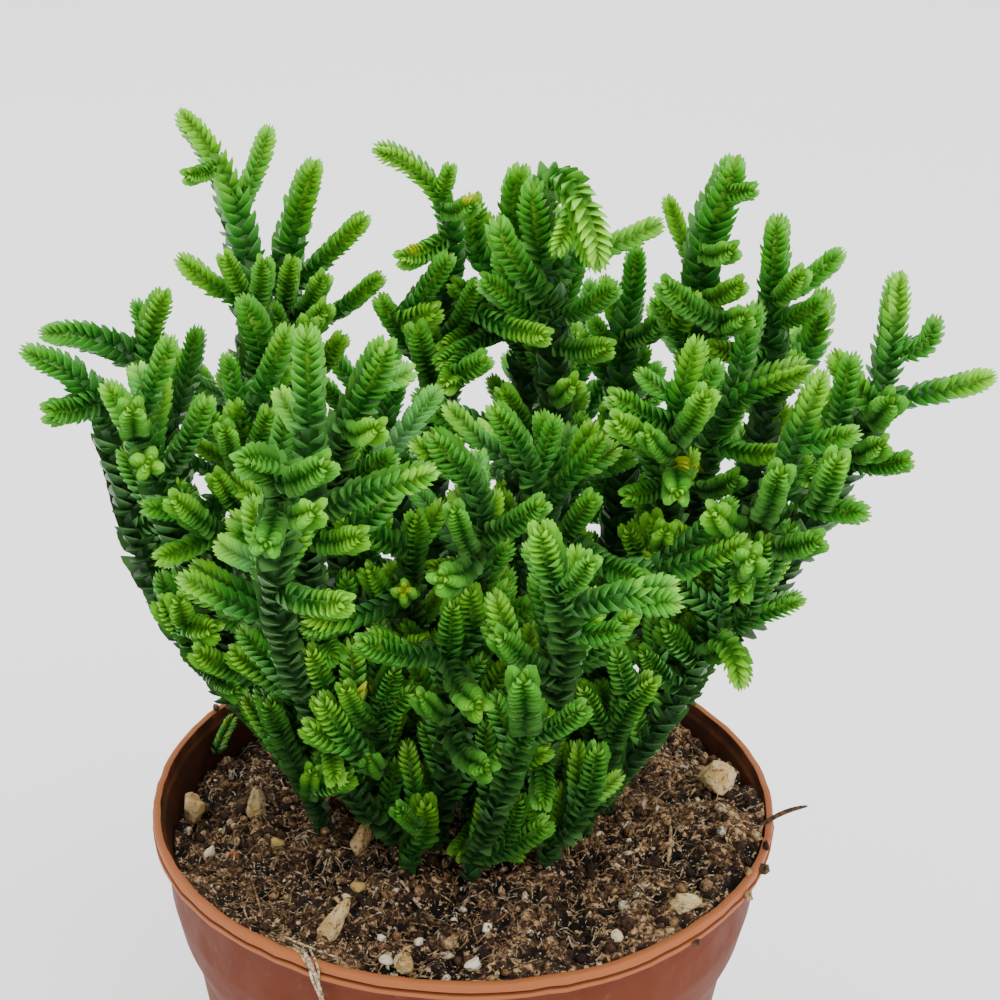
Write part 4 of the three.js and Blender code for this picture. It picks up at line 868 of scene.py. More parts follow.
def sighted(points):
    """Rows of (right, up, y, width) as rows of (x, y, z, width)."""
    points = np.asarray(points, float)
    ray = RIM_MIDDLE + points[:, :1] * sight_right + points[:, 1:2] * sight_up - EYE
    spot = EYE + ray * ((points[:, 2:3] - EYE[1]) / ray[:, 1:2])
    return np.concatenate([spot, points[:, 3:4]], 1)


def on_sheet(spots):
    """Where points show on the sheet, as (right, up)."""
    ray = spots[:, :3] - EYE
    ray = ray * (((RIM_MIDDLE - EYE) @ sight_ahead) / (ray @ sight_ahead))[:, None] + EYE - RIM_MIDDLE
    return np.stack([ray @ sight_right, ray @ sight_up], -1)


def run_of(line):
    """How far along a line each of its points lies, from its columns of places."""
    return np.concatenate([[0], np.cumsum(np.linalg.norm(np.diff(line[:, :3], axis=0), axis=1))])


def read_at(places, run, line):
    """A line's columns at places along it."""
    return np.stack([np.interp(places, run, column) for column in line.T], -1)


def evenly(line, count):
    """The same line as that many points evenly apart."""
    run = run_of(line)
    return read_at(np.linspace(0, run[-1], count), run, line)


paths = []


def add_path(stem, line, parent, joint):
    """One more path of a stem, in even steps, and its number. It leaves its parent at that one's joint."""
    samples = evenly(line, max(3, round(run_of(line)[-1] / STEP)) + 1)
    gap = np.linalg.norm(samples[1, :3] - samples[0, :3])
    paths.append({"stem": stem, "samples": samples, "gap": gap, "parent": parent, "joint": joint})
    return len(paths) - 1


def all_samples():
    """The points of all paths in one array, and which path each is of."""
    owner = np.repeat(np.arange(len(paths)), [len(path["samples"]) for path in paths])
    return np.concatenate([path["samples"] for path in paths]), owner


def first_along(path, on_stem, on_shoot):
    """How far along a path things may grow: past the buried foot of a rooted stem, or past its joint."""
    return FOOT_DEPTH + on_stem if path["parent"] < 0 else on_shoot


def add_rooted_stem(stem, foot, route):
    """A rooted stem comes straight up out of the soil before it leans."""
    heights = plain_soil(*foot) + np.array([-FOOT_DEPTH, FOOT_COLLAR, 3 * FOOT_COLLAR])
    low, collar, neck = ([*foot, height, LOW_WIDTH] for height in heights)
    above = eased(np.concatenate([[collar, neck], route]), EASE_ROUNDS)
    return add_path(stem, np.concatenate([[low], above]), -1, 0)


def add_shoot(stem, parent, joint, route):
    """A shoot leaves its stem low and bows up to its tip. With points of its own it follows those."""
    start = np.append(paths[parent]["samples"][joint, :3], route[0, 3])
    points = [start, *route]
    if len(route) == 1:
        middle = (start + route[0]) / 2
        middle[2] -= SHOOT_BOW * np.linalg.norm(start[:3] - route[0, :3])
        points.insert(1, middle)
    return add_path(stem, eased(points, EASE_ROUNDS), parent, joint)


for number, (_, foot, route, shoots) in enumerate(STEMS):
    first = add_rooted_stem(number, foot, sighted(route))
    for base, *own in shoots:
        gaps = [np.linalg.norm(on_sheet(path["samples"]) - base, axis=1) for path in paths[first:]]
        nearest = min(range(len(gaps)), key=lambda order: gaps[order].min())
        add_shoot(number, first + nearest, int(gaps[nearest].argmin()), sighted(own))

far_state = FAR_SEED


def draw(low, high):
    """A seeded draw between two values, the same on every run."""
    global far_state
    far_state = far_state * DRAW_FACTOR % DRAW_SPAN
    return low + (high - low) * far_state / DRAW_SPAN


for order, (_, foot, reach) in enumerate(FAR_STEMS):
    number = len(STEMS) + order
    tip = np.append(RIM_MIDDLE + reach, FAR_TIP_WIDTH)
    foot_spot = np.array([*foot, plain_soil(*foot)])
    middle = np.append(foot_spot + (tip[:3] - foot_spot) * FAR_LIFT, FAR_WIDTH)
    middle[2] += FAR_BOW * np.linalg.norm(tip[:3] - foot_spot)
    first = add_rooted_stem(number, foot, np.array([middle, tip]))
    outward = math.atan2(tip[1], tip[0])
    samples = paths[first]["samples"]
    for k in range(FAR_SHOOTS):
        low, high = FAR_SHOOT_FROM
        joint = math.floor(len(samples) * (low + (high - low) * k / FAR_SHOOTS) + 0.5)
        turn = outward + (1 if k % 2 == 0 else -1) * draw(*FAR_SHOOT_TURN)
        out, rise = draw(*FAR_SHOOT_REACH), draw(*FAR_SHOOT_RISE)
        reach_to = samples[joint, :3] + [out * math.cos(turn), out * math.sin(turn), rise]
        add_shoot(number, first, joint, np.append(reach_to, draw(*FAR_SHOOT_WIDTH))[None])


def bend_clear():
    """Bend paths clear of each other.

    Points of two paths that are too near push each other away, and the push is spread along the path."""
    spots, owner = all_samples()
    home = spots[:, :3].copy()
    place = home.copy()
    starts = np.searchsorted(owner, np.arange(len(paths) + 1))
    stem, parent, step = (np.array([path[key] for path in paths])[owner] for key in ("stem", "parent", "gap"))
    rooted = parent < 0
    run = (np.arange(len(spots)) - starts[owner]) * step
    buried = rooted & (run < FOOT_DEPTH + FOOT_COLLAR)
    at_joint = ~rooted & (run < JOINT_STRETCH)
    pairs = []
    for i in range(len(spots)):
        rest = slice(i + 1, len(spots))
        need = (spots[i, 3] + spots[rest, 3]) / 2 + CLEARANCE
        near = np.linalg.norm(home[rest] - home[i], axis=1) < need + WATCHED
        grown_on = (stem[rest] == stem[i]) & (at_joint[rest] | at_joint[i])
        found = np.nonzero(near & (owner[rest] != owner[i]) & ~grown_on)[0]
        pairs.append(np.stack([np.full(len(found), i), found + i + 1, need[found]], -1))
    one, two, need = np.concatenate(pairs).T
    one, two = one.astype(int), two.astype(int)
    for _ in range(BEND_ROUNDS):
        apart = place[one] - place[two]
        gap = np.linalg.norm(apart, axis=1)
        away = apart * (np.where(gap < need, PUSH_SHARE * (need - gap), 0) / gap)[:, None]
        push = np.stack([np.bincount(one, away[:, k], len(place)) - np.bincount(two, away[:, k], len(place))
                         for k in range(3)], -1)
        place[~buried] += push[~buried]
        out = np.hypot(place[:, 0], place[:, 1])
        ground = np.where(out < RIM_RADIUS - RIM_BELT, plain_soil(place[:, 0], place[:, 1]), POT_HEIGHT)
        held = ~buried & ~at_joint & (out < RIM_RADIUS + RIM_BELT) & (home[:, 2] > ground + GROUND_BELT)
        lowest = ground + spots[:, 3] / 2 + CLEARANCE
        place[held, 2] = np.maximum(place[held, 2], lowest[held])
        for number, path in enumerate(paths):
            span = slice(starts[number], starts[number + 1])
            shift = place[span] - home[span]
            if path["parent"] >= 0:
                joint = starts[path["parent"]] + path["joint"]
                shift[0] = place[joint] - home[joint]
            before = np.concatenate([shift[:1], shift[:-1]])
            after = np.concatenate([shift[1:], shift[-1:]])
            smooth = (before + after) / 4 + shift / 2
            smooth[0] = shift[0]
            moved = home[span] + smooth
            place[span] = np.where(buried[span][:, None], place[span], moved)
    for number, path in enumerate(paths):
        path["samples"][:, :3] = place[starts[number]:starts[number + 1]]


bend_clear()

# Three more broad shoots close the top of the plant. Each leaves its stem where that shows nearest to the
# first place (right, up).
CROWN_SHOOTS = [
    ("centre_right", (13.4, 89), [(12.2, 96, -4, 6.2), (11.6, 103.6, -6, 6.4)]),
    ("centre_right", (14.6, 103.4), [(19, 101.6, -9, 5.6), (22.2, 94, -13, 6), (23, 87.4, -15.5, 5.8)]),
    ("centre_right", (14.6, 82), [(7, 91, -8, 5.6), (5.4, 97.5, -8, 5.8)]),
]
for name, leaves_at, route in CROWN_SHOOTS:
    number = [stem[0] for stem in STEMS].index(name)
    parent = next(k for k, path in enumerate(paths) if path["stem"] == number and path["parent"] < 0)
    joint = int(np.linalg.norm(on_sheet(paths[parent]["samples"]) - leaves_at, axis=1).argmin())
    add_shoot(number, parent, joint, sighted(route))

# Smaller shoots grow all along the stems. Each takes the freest of a few random ways out. None shows
# outside the outline of the plant's mass (right, up), in its open gaps (right, up, radius), in front of the
# tips of the laid-out shoots, or end on.
SPRIG_SEED = 5
SPRIG_SPACING = 3.4
SPRIG_SPACING_SPREAD = (0.7, 1.4)
SPRIG_FROM_JOINT = 6.0
SPRIG_FROM_COLLAR = 5.0
SPRIG_FROM_TIP = 7.0
SPRIG_TRIES = 26
SPRIG_LENGTHS = (7.0, 16.0)
SPRIG_WIDTHS = (4.3, 5.3)
SPRIG_LEANS = (30, 60)
SPRIG_CROSSING = 1.2
SPRIG_FACING = 0.25
SPRIG_OVERLAP = 0.26
SPRIG_BEHIND = 1.0
SPRIG_RISE = 0.25
SPRIG_BOW = 0.22
SPRIG_STEPS = 5
SPRIG_REACH_WORTH = 0.04
SPRIG_NEIGHBOURS = 32.0
FREE_FROM = 4.5
BOX_MARGIN = 2.5
RIM_MARGIN = 4.0
GROUND_MARGIN = 0.5
GAP_MARGIN = 1.2
GREEN_LENGTH = 13.0
SHOWN_WHOLE = ("front_long", "front_right_short", "front_middle", "front_open", "front_left", "low_left",
               "low_right")
MASS_MARGIN = 1.2
MASS = [
    (-28.2, 2.2), (-34.8, 11.6), (-41.6, 15.9), (-45.7, 19.7), (-51.9, 26.5), (-54.3, 33), (-55.1, 38.2),
    (-57.7, 43.3), (-58, 50.2), (-61.1, 58.7), (-62.1, 65.6), (-58.7, 68.1), (-57.4, 73.8), (-50.5, 76.7),
    (-45.4, 74.1), (-39.9, 76.7), (-40.9, 82.7), (-43, 86.5), (-36.8, 87.5), (-30, 84.1), (-23.1, 84.1),
    (-19.7, 81.8), (-15.9, 77.2), (-11.1, 78.1), (-7.7, 76.7), (-5.6, 84.4), (-3.9, 93), (-1.7, 99),
    (2.6, 100.7), (6.8, 103.6), (11.1, 102.9), (16.3, 103.2), (21.4, 96.4), (23.1, 89.2), (30, 87.8),
    (38.5, 85.3), (40.6, 93), (44, 97.8), (47.4, 89.2), (54.8, 82.7), (62.1, 76.7), (69, 68.1),
    (70.7, 58.7), (65.9, 48.8), (57.4, 41.9), (53.9, 31.7), (47.1, 27), (40.2, 19), (38.2, 12.5),
    (32.5, 3.9), (26.9, -2.9), (23.1, -8.4), (16.3, -12.8), (0.9, -15.8), (-6, -14), (-11.1, -10.6),
    (-18, -2.9),
]
OPEN_GAPS = [
    (1.5, 68.7, 1.8), (33.7, 72.2, 2.5), (46.6, 87.7, 4), (50.5, 73.6, 3.2), (51, 62, 2.5), (18.8, 98.3, 3),
    (52.9, 36.8, 2), (-18.5, 78.4, 2.5), (-41.8, 75.3, 2.5), (19.3, 45.4, 1), (-49.8, 45.5, 0.8),
]


def inside_mass(x, y):
    """Whether a point is inside the outline: the edges that a line to its right crosses are odd."""
    corners = np.array(MASS)
    after = np.roll(corners, -1, axis=0)
    straddles = (corners[:, 1] > y) != (after[:, 1] > y)
    rise = after[straddles, 1] - corners[straddles, 1]
    share = (y - corners[straddles, 1]) / rise
    cross_at = corners[straddles, 0] + (after[straddles, 0] - corners[straddles, 0]) * share
    return np.count_nonzero(cross_at > x) % 2 == 1


low_corner, high_corner = np.array(cad_box) / MM
sprig_rng = np.random.default_rng(SPRIG_SEED)
taken, taken_owner = all_samples()
shown = on_sheet(taken)
to_tip = np.concatenate([path["gap"] * np.arange(len(path["samples"]))[::-1] for path in paths])
whole = [(STEMS + FAR_STEMS)[path["stem"]][0] in SHOWN_WHOLE for path in paths]
laid_out = (to_tip < GREEN_LENGTH) | np.array(whole)[taken_owner]
kept_clear, kept_shown = taken[laid_out], shown[laid_out]
kept_depth = (kept_clear[:, :3] - EYE) @ sight_ahead


def sprig_room(start, way, reach, width, near):
    """How free a sprig's way out is, and its points, or None where it may not grow."""
    share = np.linspace(0, 1, SPRIG_STEPS + 1)[1:, None]
    run = start + way * reach * share + np.array([0, 0, SPRIG_BOW * reach]) * share ** 2
    free = run[share[:, 0] * reach > FREE_FROM]
    if (free < low_corner + BOX_MARGIN).any() or (free > high_corner - BOX_MARGIN).any():
        return None
    out = np.hypot(free[:, 0], free[:, 1])
    soil_there = np.where(out < RIM_RADIUS - RIM_MARGIN, plain_soil(free[:, 0], free[:, 1]), POT_HEIGHT)
    if ((out < RIM_RADIUS + RIM_MARGIN) & (free[:, 2] < soil_there + width / 2 + GROUND_MARGIN)).any():
        return None
    seen = on_sheet(free)
    if any(math.hypot(*(seen[-1] - (x, y))) < radius + GAP_MARGIN for x, y, radius in OPEN_GAPS):
        return None
    right, up = seen[-1]
    if not (inside_mass(right - MASS_MARGIN, up) and inside_mass(right + MASS_MARGIN, up)):
        return None
    beside = np.linalg.norm(seen[:, None] - kept_shown[None], axis=2)
    over = beside < SPRIG_OVERLAP * (kept_clear[:, 3] + width)
    in_front = ((free - EYE) @ sight_ahead)[:, None] < kept_depth + SPRIG_BEHIND
    if (over & in_front).any():
        return None
    gaps = np.linalg.norm(free[:, None] - near[None, :, :3], axis=2)
    return (gaps - (near[:, 3] + width) / 2).min() + SPRIG_REACH_WORTH * reach, run


def neighbours(parent, place, reach):
    """The points of other paths within reach of a place."""
    return taken[(taken_owner != parent) & (np.linalg.norm(taken[:, :3] - place, axis=1) < reach)]


def ahead_at(samples, joint):
    """The way that a path runs at one of its points."""
    return unit(samples[min(joint + 1, len(samples) - 1), :3] - samples[joint - 1, :3])


def add_sprig(parent, joint, run, width):
    """A sprig as a path of its own, and its points among those that the next ones keep clear of."""
    global taken, taken_owner, shown
    line = np.concatenate([paths[parent]["samples"][joint, :3][None], run])
    add_path(paths[parent]["stem"], np.concatenate([line, np.full((len(line), 1), width)], 1), parent, joint)
    fresh = paths[-1]["samples"]
    taken = np.concatenate([taken, fresh])
    taken_owner = np.append(taken_owner, np.full(len(fresh), len(paths) - 1))
    shown = np.concatenate([shown, on_sheet(fresh)])


for parent in range(len(paths)):
    path = paths[parent]
    samples = path["samples"]
    length = path["gap"] * (len(samples) - 1)
    spot_at = first_along(path, SPRIG_FROM_COLLAR, SPRIG_FROM_JOINT) + sprig_rng.uniform(0, SPRIG_SPACING)
    while spot_at < length - SPRIG_FROM_TIP:
        joint = int(round(spot_at / path["gap"]))
        start = samples[joint, :3]
        spot_at += SPRIG_SPACING * sprig_rng.uniform(*SPRIG_SPACING_SPREAD)
        ahead = ahead_at(samples, joint)
        near = neighbours(parent, start, SPRIG_NEIGHBOURS)
        best = (-SPRIG_CROSSING, None, 0)
        for _ in range(SPRIG_TRIES):
            side = unit(np.cross(ahead, sprig_rng.normal(size=3)))
            lean = math.radians(sprig_rng.uniform(*SPRIG_LEANS))
            way = unit(ahead * math.cos(lean) + side * math.sin(lean) + [0, 0, SPRIG_RISE])
            reach, width = sprig_rng.uniform(*SPRIG_LENGTHS), sprig_rng.uniform(*SPRIG_WIDTHS)
            if way @ sight_ahead < -SPRIG_FACING:
                continue
            found = sprig_room(start, way, reach, width, near)
            if found and found[0] > best[0]:
                best = (*found, width)
        _, run, width = best
        if run is not None:
            add_sprig(parent, joint, run, width)

# The plant is dense: seen from the front, hardly any stem or sky shows. Where only bare stem or nothing would
# show, a longer sprig is led there from a stem that is near.
FILL_CELL = 2.1
FILL_ROUNDS = 3
FILL_TRIES = 60
FILL_REACH = (7.0, 18.0)
FILL_PAST = 1.8
FILL_CROSSING = 1.8
FILL_FACING = 0.85
FILL_COVER = 2.0
FILL_SLANTS = (0.2, 0.96)
FILL_FALL = 0.2
FILL_AIM_LOW = 0.2
FILL_FROM_JOINT = 5.0
FILL_FROM_COLLAR = 4.0
FILL_FROM_TIP = 6.0
FILL_SEEN = 0.42
FILL_NEIGHBOURS = 34.0
FILL_GAP_MARGIN = 1.5
FILL_DEPTHS = np.arange(-34.0, 50.0, 6.0)

low_right, low_up = np.array(MASS).min(0)
high_right, high_up = np.array(MASS).max(0)
cells = [(x, y) for x in np.arange(low_right, high_right, FILL_CELL)
         for y in np.arange(low_up, high_up, FILL_CELL)
         if inside_mass(x, y)
         and all(math.hypot(x - right, y - up) > reach + FILL_GAP_MARGIN for right, up, reach in OPEN_GAPS)]
bare = ~laid_out
for _ in range(FILL_ROUNDS):
    for cell in sprig_rng.permutation(cells):
        at_cell = np.flatnonzero(np.linalg.norm(shown - cell, axis=1) < FILL_SEEN * taken[:, 3])
        farthest = math.inf
        if len(at_cell):
            depths = (taken[at_cell, :3] - EYE) @ sight_ahead
            foremost = at_cell[depths.argmin()]
            if foremost >= len(bare) or not bare[foremost]:
                continue
            farthest = depths.min() - FILL_COVER
        targets = sighted([(*cell, depth, 0) for depth in FILL_DEPTHS])[:, :3]
        targets = targets[(targets - EYE) @ sight_ahead < farthest]
        if not len(targets):
            continue
        reach = np.linalg.norm(taken[:, None, :3] - targets[None], axis=2)
        best = (-FILL_CROSSING, None, 0, 0, 0)
        options = np.argwhere((reach > FILL_REACH[0]) & (reach < FILL_REACH[1]))
        for spot, aim in sprig_rng.permutation(options)[:FILL_TRIES]:
            parent = taken_owner[spot]
            path = paths[parent]
            joint = spot - np.searchsorted(taken_owner, parent)
            below_tip = (len(path["samples"]) - 1 - joint) * path["gap"]
            first = first_along(path, FILL_FROM_COLLAR, FILL_FROM_JOINT)
            if joint == 0 or below_tip < FILL_FROM_TIP or joint * path["gap"] < first:
                continue
            way = targets[aim] - taken[spot, :3]
            far = np.linalg.norm(way)
            way /= far
            leans = FILL_SLANTS[0] <= way @ ahead_at(path["samples"], joint) <= FILL_SLANTS[1]
            if not leans or way[2] < -FILL_FALL or way @ sight_ahead < -FILL_FACING:
                continue
            way[2] -= FILL_AIM_LOW
            width = sprig_rng.uniform(*SPRIG_WIDTHS)
            near = neighbours(parent, taken[spot, :3], FILL_NEIGHBOURS)
            found = sprig_room(taken[spot, :3], way, far + FILL_PAST, width, near)
            if found and found[0] > best[0]:
                best = (*found, width, parent, joint)
        _, run, width, parent, joint = best
        if run is not None:
            add_sprig(parent, joint, run, width)

# A leaf is a boat-shaped scale with sharp edges: a midrib that turns upward, a keeled outer face and a
# flat inner one. Leaf tips end on the shoot's outline, which is a round dome at the apex. Pairs stand close
# together there and farther apart on older growth. Shares are of the shoot's width over its leaf tips.
LEAF_RINGS = np.array([0.0, 0.38, 0.8, 1.0])
YOUNG_HALF_WIDTH = np.array([0.15, 0.175, 0.12, 0.0])
OLD_HALF_WIDTH = np.array([0.21, 0.24, 0.1, 0.0])
LEAF_KEEL = np.array([0.17, 0.15, 0.07, 0.0])
LEAF_CORNERS = np.array([(1, 0.0), (0, 1.0), (-1, 0.0)])
LEAF_START = 0.08
ROOT_LEAST = 0.4
LEAN_SINES = (0.05, 0.96)
LEAF_REACH = 0.56
OLD_REACH = 0.02
DOME = 0.7
BUD_SIZE = 0.72
BUD_NARROW = 0.65
NARROW_OVER = 2.0
TOP_PAIR = 0.15
YOUNG_OVER = 4.0
AGED_OVER = 14.0
ROLL_SPREAD = 0.12
TURN_SPREAD = 0.06
UNEVEN_YOUNG = 0.05
UNEVEN_AGED = 0.22
FIRST_ON_STEM = 0.5
FIRST_ON_SHOOT = 0.8
CHANCE_SPREAD = 0.12
RANK_GAP = 0.65
RANK_GAP_GROWN = 2.0
GROWN_AFTER = 14.0
USUAL_WIDTH = 5.5
LEAF_BEND = 0.5
CORE_SHARE = 0.2
CORE_SIDES = 5
CORE_TAPER = 4.0
LEAF_SEED = 3
LEAF_TONES = ((0.0, 128, 204, 44), (0.06, 84, 174, 36), (0.16, 56, 142, 36), (0.32, 46, 110, 40),
              (0.9, 46, 84, 44))
LIME = (146, 216, 22)
LEAF_BASE = (28, 62, 22)
# Painted highlight for the leaf edges.
LEAF_EDGE_HIGHLIGHT = (138, 210, 84)
FADED_YELLOW = (196, 206, 16)
LOW_SHADE = (20, 52, 18)
DRY_TIP = (46, 26, 24)


def carried_frames(spots, start_side):
    """Directions ahead and to one side along a line, the side carried forward without twist."""
    ahead = unit(np.gradient(spots, axis=0))
    side = start_side
    sides = []
    for direction in ahead:
        side = unit(side - direction * (side @ direction))
        sides.append(side)
    return ahead, np.array(sides)


def pairs_below(length, width):
    """How far below the apex the tips of each pair of leaves stand, from the youngest pair down."""
    below = []
    place = TOP_PAIR
    while place < length:
        below.append(place)
        gap = RANK_GAP + RANK_GAP_GROWN * (1 - math.exp(-place / GROWN_AFTER))
        place += gap / 2 * (width / USUAL_WIDTH) ** 0.5
    return np.array(below)


def leaves_on(path, rng):
    """The points of a path's leaves, how far each is below the apex, and its chance value.

    The rib of a leaf is an arc. Its chord runs from the shoot's axis to the outline, so the arc's mean lean
    from the axis is the angle whose sine is the way outward over the chord."""
    spots, widths = path["samples"][:, :3], path["samples"][:, 3]
    ahead, sides = carried_frames(spots, np.cross(EYE - spots[0], spots[-1] - spots[0]))
    along = run_of(spots)
    length = along[-1]
    below = pairs_below(length, widths[-1])
    roll = math.pi / 4 + rng.normal(0, ROLL_SPREAD)
    rank = np.arange(len(below)) % 2 * math.pi / 2 + roll
    leaf_turn = np.concatenate([rank, rank + math.pi]) + rng.normal(0, TURN_SPREAD, 2 * len(below))
    below = np.concatenate([below, below])
    width = np.interp(length - below, along, widths)
    aged = np.clip((below - YOUNG_OVER) / AGED_OVER, 0, 1)
    share = np.minimum(1, below / (DOME * width))
    uneven = UNEVEN_YOUNG + (UNEVEN_AGED - UNEVEN_YOUNG) * aged
    outline = width / 2 * np.sqrt(1 - (1 - share) ** 2) * (1 + uneven * rng.uniform(-1, 1, len(below)))
    size = BUD_SIZE + (1 - BUD_SIZE) * np.sqrt(np.minimum(1, below / width))
    size *= 1 + uneven * rng.uniform(-1, 1, len(below))
    chord = width * (LEAF_REACH - OLD_REACH * aged) * size
    root = LEAF_START * width * (ROOT_LEAST + (1 - ROOT_LEAST) * share)
    lean = np.arcsin(np.clip((outline - root) / chord, *LEAN_SINES))
    place = length - below - chord * np.cos(lean)
    kept = place > first_along(path, FIRST_ON_STEM, FIRST_ON_SHOOT)
    leaf_turn, below, width, aged, size, chord, root, lean, place = (
        row[kept] for row in (leaf_turn, below, width, aged, size, chord, root, lean, place))
    spot, forward, side = (read_at(place, along, rows) for rows in (spots, ahead, sides))
    forward = unit(forward)
    side = unit(side - forward * (side * forward).sum(1, keepdims=True))
    outward = leaning(leaf_turn, side, np.cross(forward, side))
    across = np.cross(outward, forward)
    rib = (chord * (LEAF_BEND / 2) / math.sin(LEAF_BEND / 2))[:, None]
    lean_from = (lean + LEAF_BEND / 2)[:, None]
    turning = lean_from - LEAF_BEND * LEAF_RINGS
    rib_out = root[:, None] + rib * (np.cos(turning) - np.cos(lean_from)) / LEAF_BEND
    rib_up = rib * (np.sin(lean_from) - np.sin(turning)) / LEAF_BEND
    rib_line = spot[:, None] + rib_out[..., None] * outward[:, None] + rib_up[..., None] * forward[:, None]
    back = leaning(turning, outward[:, None], -forward[:, None])
    scale = (width * size)[:, None, None, None]
    half_width = YOUNG_HALF_WIDTH + aged[:, None] * (OLD_HALF_WIDTH - YOUNG_HALF_WIDTH)
    half_width = half_width * (BUD_NARROW + (1 - BUD_NARROW) * np.minimum(1, below / NARROW_OVER))[:, None]
    sideways = half_width[..., None] * LEAF_CORNERS[:, 0]
    outer = LEAF_KEEL[:, None] * LEAF_CORNERS[:, 1]
    points = (rib_line[:, :, None] + scale * sideways[..., None] * across[:, None, None]
              + scale * outer[None, ..., None] * back[:, :, None])
    luck = np.clip(rng.uniform(0, 1) + rng.normal(0, CHANCE_SPREAD, len(below)), 0, 1)
    return points, below, luck, (path["samples"], ahead, sides, along)


heel = np.array([(0, k + 1, k) for k in range(1, len(LEAF_CORNERS) - 1)])
LEAF_FACES = np.concatenate([grid_triangles(len(LEAF_RINGS), len(LEAF_CORNERS)), heel])
leaf_along = np.repeat(LEAF_RINGS, len(LEAF_CORNERS))
leaf_margin = np.tile(np.abs(LEAF_CORNERS[:, 0]), len(LEAF_RINGS))


def leaf_colour(start):
    """Green by age, darker at bases, dry at old tips; painted edge highlight, painted light high, painted
    shade low.
    """
    along, margin, luck = start.attribute("along"), start.attribute("margin"), start.attribute("chance")
    height = start.place(2)
    # Leaves high in the plant are given a younger, brighter green: painted light from above.
    age = start.attribute("age") * (1 - height.fade(0.16, 0.195) * 0.55)
    body = (age * 0.029 + (luck - 0.45) * 0.14).ramp(*LEAF_TONES)
    lime = (1 - luck.fade(0.15, 0.5)) * (1 - age.fade(0.5, 8)) * 0.55
    fresh = lime.paint(body, LIME)
    grown = age.fade(3, 16)
    base = ((1 - along.fade(0.1, 0.75)) * 0.55).paint(fresh, LEAF_BASE)
    # Paler leaf edges: a painted highlight, weaker on grown leaves.
    rim_light = margin.fade(0.6, 1.0) * along.fade(0.2, 0.6) * (1 - grown * 0.4) * 0.35
    edge = rim_light.paint(base, LEAF_EDGE_HIGHLIGHT)
    dead = (start.attribute("faded").fade(0.2, 0.9) * 0.85).paint(edge, FADED_YELLOW)
    low = ((1 - height.fade(0.09, 0.165)) * 0.42).paint(dead, LOW_SHADE)
    tip = along.fade(0.88, 1.0) * grown * 0.8
    return tip.paint(low, DRY_TIP)


leaf_skin = finish_of("crassula_leaf", leaf_colour, grain(500, 2, span=0.16, least=0.36), 0.35,
                      grain(2600, 3, 0.6), 0.00009)

LEAF_CREASE = math.radians(50)
FADED_GAIN = 2
FADED_SPOTS = [(0.9, 100.2, 1.6), (-9.1, 91.8, 1.6), (38.2, 54.4, 1.8), (-10.3, 33, 1.4), (-17, 16.3, 2)]


def faded_leaves(leaf_grid):
    """How yellow each leaf has gone: all that show close to a few sighted spots (right, up, reach)."""
    seen = on_sheet(leaf_grid.reshape(len(leaf_grid), -1, 3).mean(1))
    faded = np.zeros(len(seen))
    for right, up, reach in FADED_SPOTS:
        faded = np.maximum(faded, 1 - np.hypot(seen[:, 0] - right, seen[:, 1] - up) / reach)
    return np.minimum(1, faded * FADED_GAIN)


def leaf_part(leaf_grid, age, luck, faded):
    """A path's leaves as (points, triangles, values by point)."""
    values = {"age": age, "chance": luck, "faded": faded}
    values = {label: np.repeat(rows, len(leaf_along)) for label, rows in values.items()}
    values["along"], values["margin"] = (np.tile(row, len(leaf_grid)) for row in (leaf_along, leaf_margin))
    return *repeated(leaf_grid, LEAF_FACES), values


def core_part(samples, ahead, sides, along):
    """The slim stem within a path's leaves as (points, triangles, values by point)."""
    to_apex = along[-1] - along
    taper = np.minimum(1, to_apex / CORE_TAPER)[:, None, None]
    taper[0] = 0
    ring = leaning(turns_of(CORE_SIDES), sides[:, None], np.cross(ahead, sides)[:, None])
    core = samples[:, None, :3] + ring * (CORE_SHARE * samples[:, 3])[:, None, None] * taper
    values = {label: np.zeros(len(samples) * CORE_SIDES) for label in ("chance", "along", "margin", "faded")}
    values["age"] = np.repeat(to_apex, CORE_SIDES)
    return core.reshape(-1, 3), grid_triangles(len(samples), CORE_SIDES), values


leaf_rng = np.random.default_rng(LEAF_SEED)
for number, (name, *_) in enumerate(STEMS + FAR_STEMS):
    parts = []
    for path in (path for path in paths if path["stem"] == number):
        leaf_grid, age, luck, line = leaves_on(path, leaf_rng)
        parts += [leaf_part(leaf_grid, age, luck, faded_leaves(leaf_grid)), core_part(*line)]
    stem_mesh = mesh_piece("scaly_stem_" + name, leaf_skin, *joined(parts))
    stem_mesh.data.set_sharp_from_angle(angle=LEAF_CREASE)
    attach(stem_mesh, "root")
    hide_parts("leafy_stem_" + name)


# The litter. Grit, dead roots, straws and crumbs lie on the peat as they fell at potting, some of them over
# the rim, with the tip of a shoot that has dropped.

# Each grain of grit: its place (x, y), its size and how pale it is.
GRIT = [
    (-27.8, 5.6, 3.0, 0.75), (-41.8, -12.3, 2.8, 0.9), (-37.6, -13.2, 2.3, 0.3), (-30.5, -11.8, 2.8, 0.6),
    (-16, -25, 2.4, 0.5), (-11.4, -36.9, 1.6, 0.9), (-10.1, -42.2, 2.2, 0.9), (-17.7, -27.3, 1.6, 0.8),
    (-5.6, -38.3, 1.8, 0.9), (24.1, -37.7, 2.4, 0.8), (4.4, -37, 2.0, 1), (-0.6, -32.9, 1.6, 0.9),
    (2.8, -44.5, 2.6, 1), (22.5, -10.2, 1.6, 0.8),
]
GRIT_ROWS = 14
GRIT_COLUMNS = 18
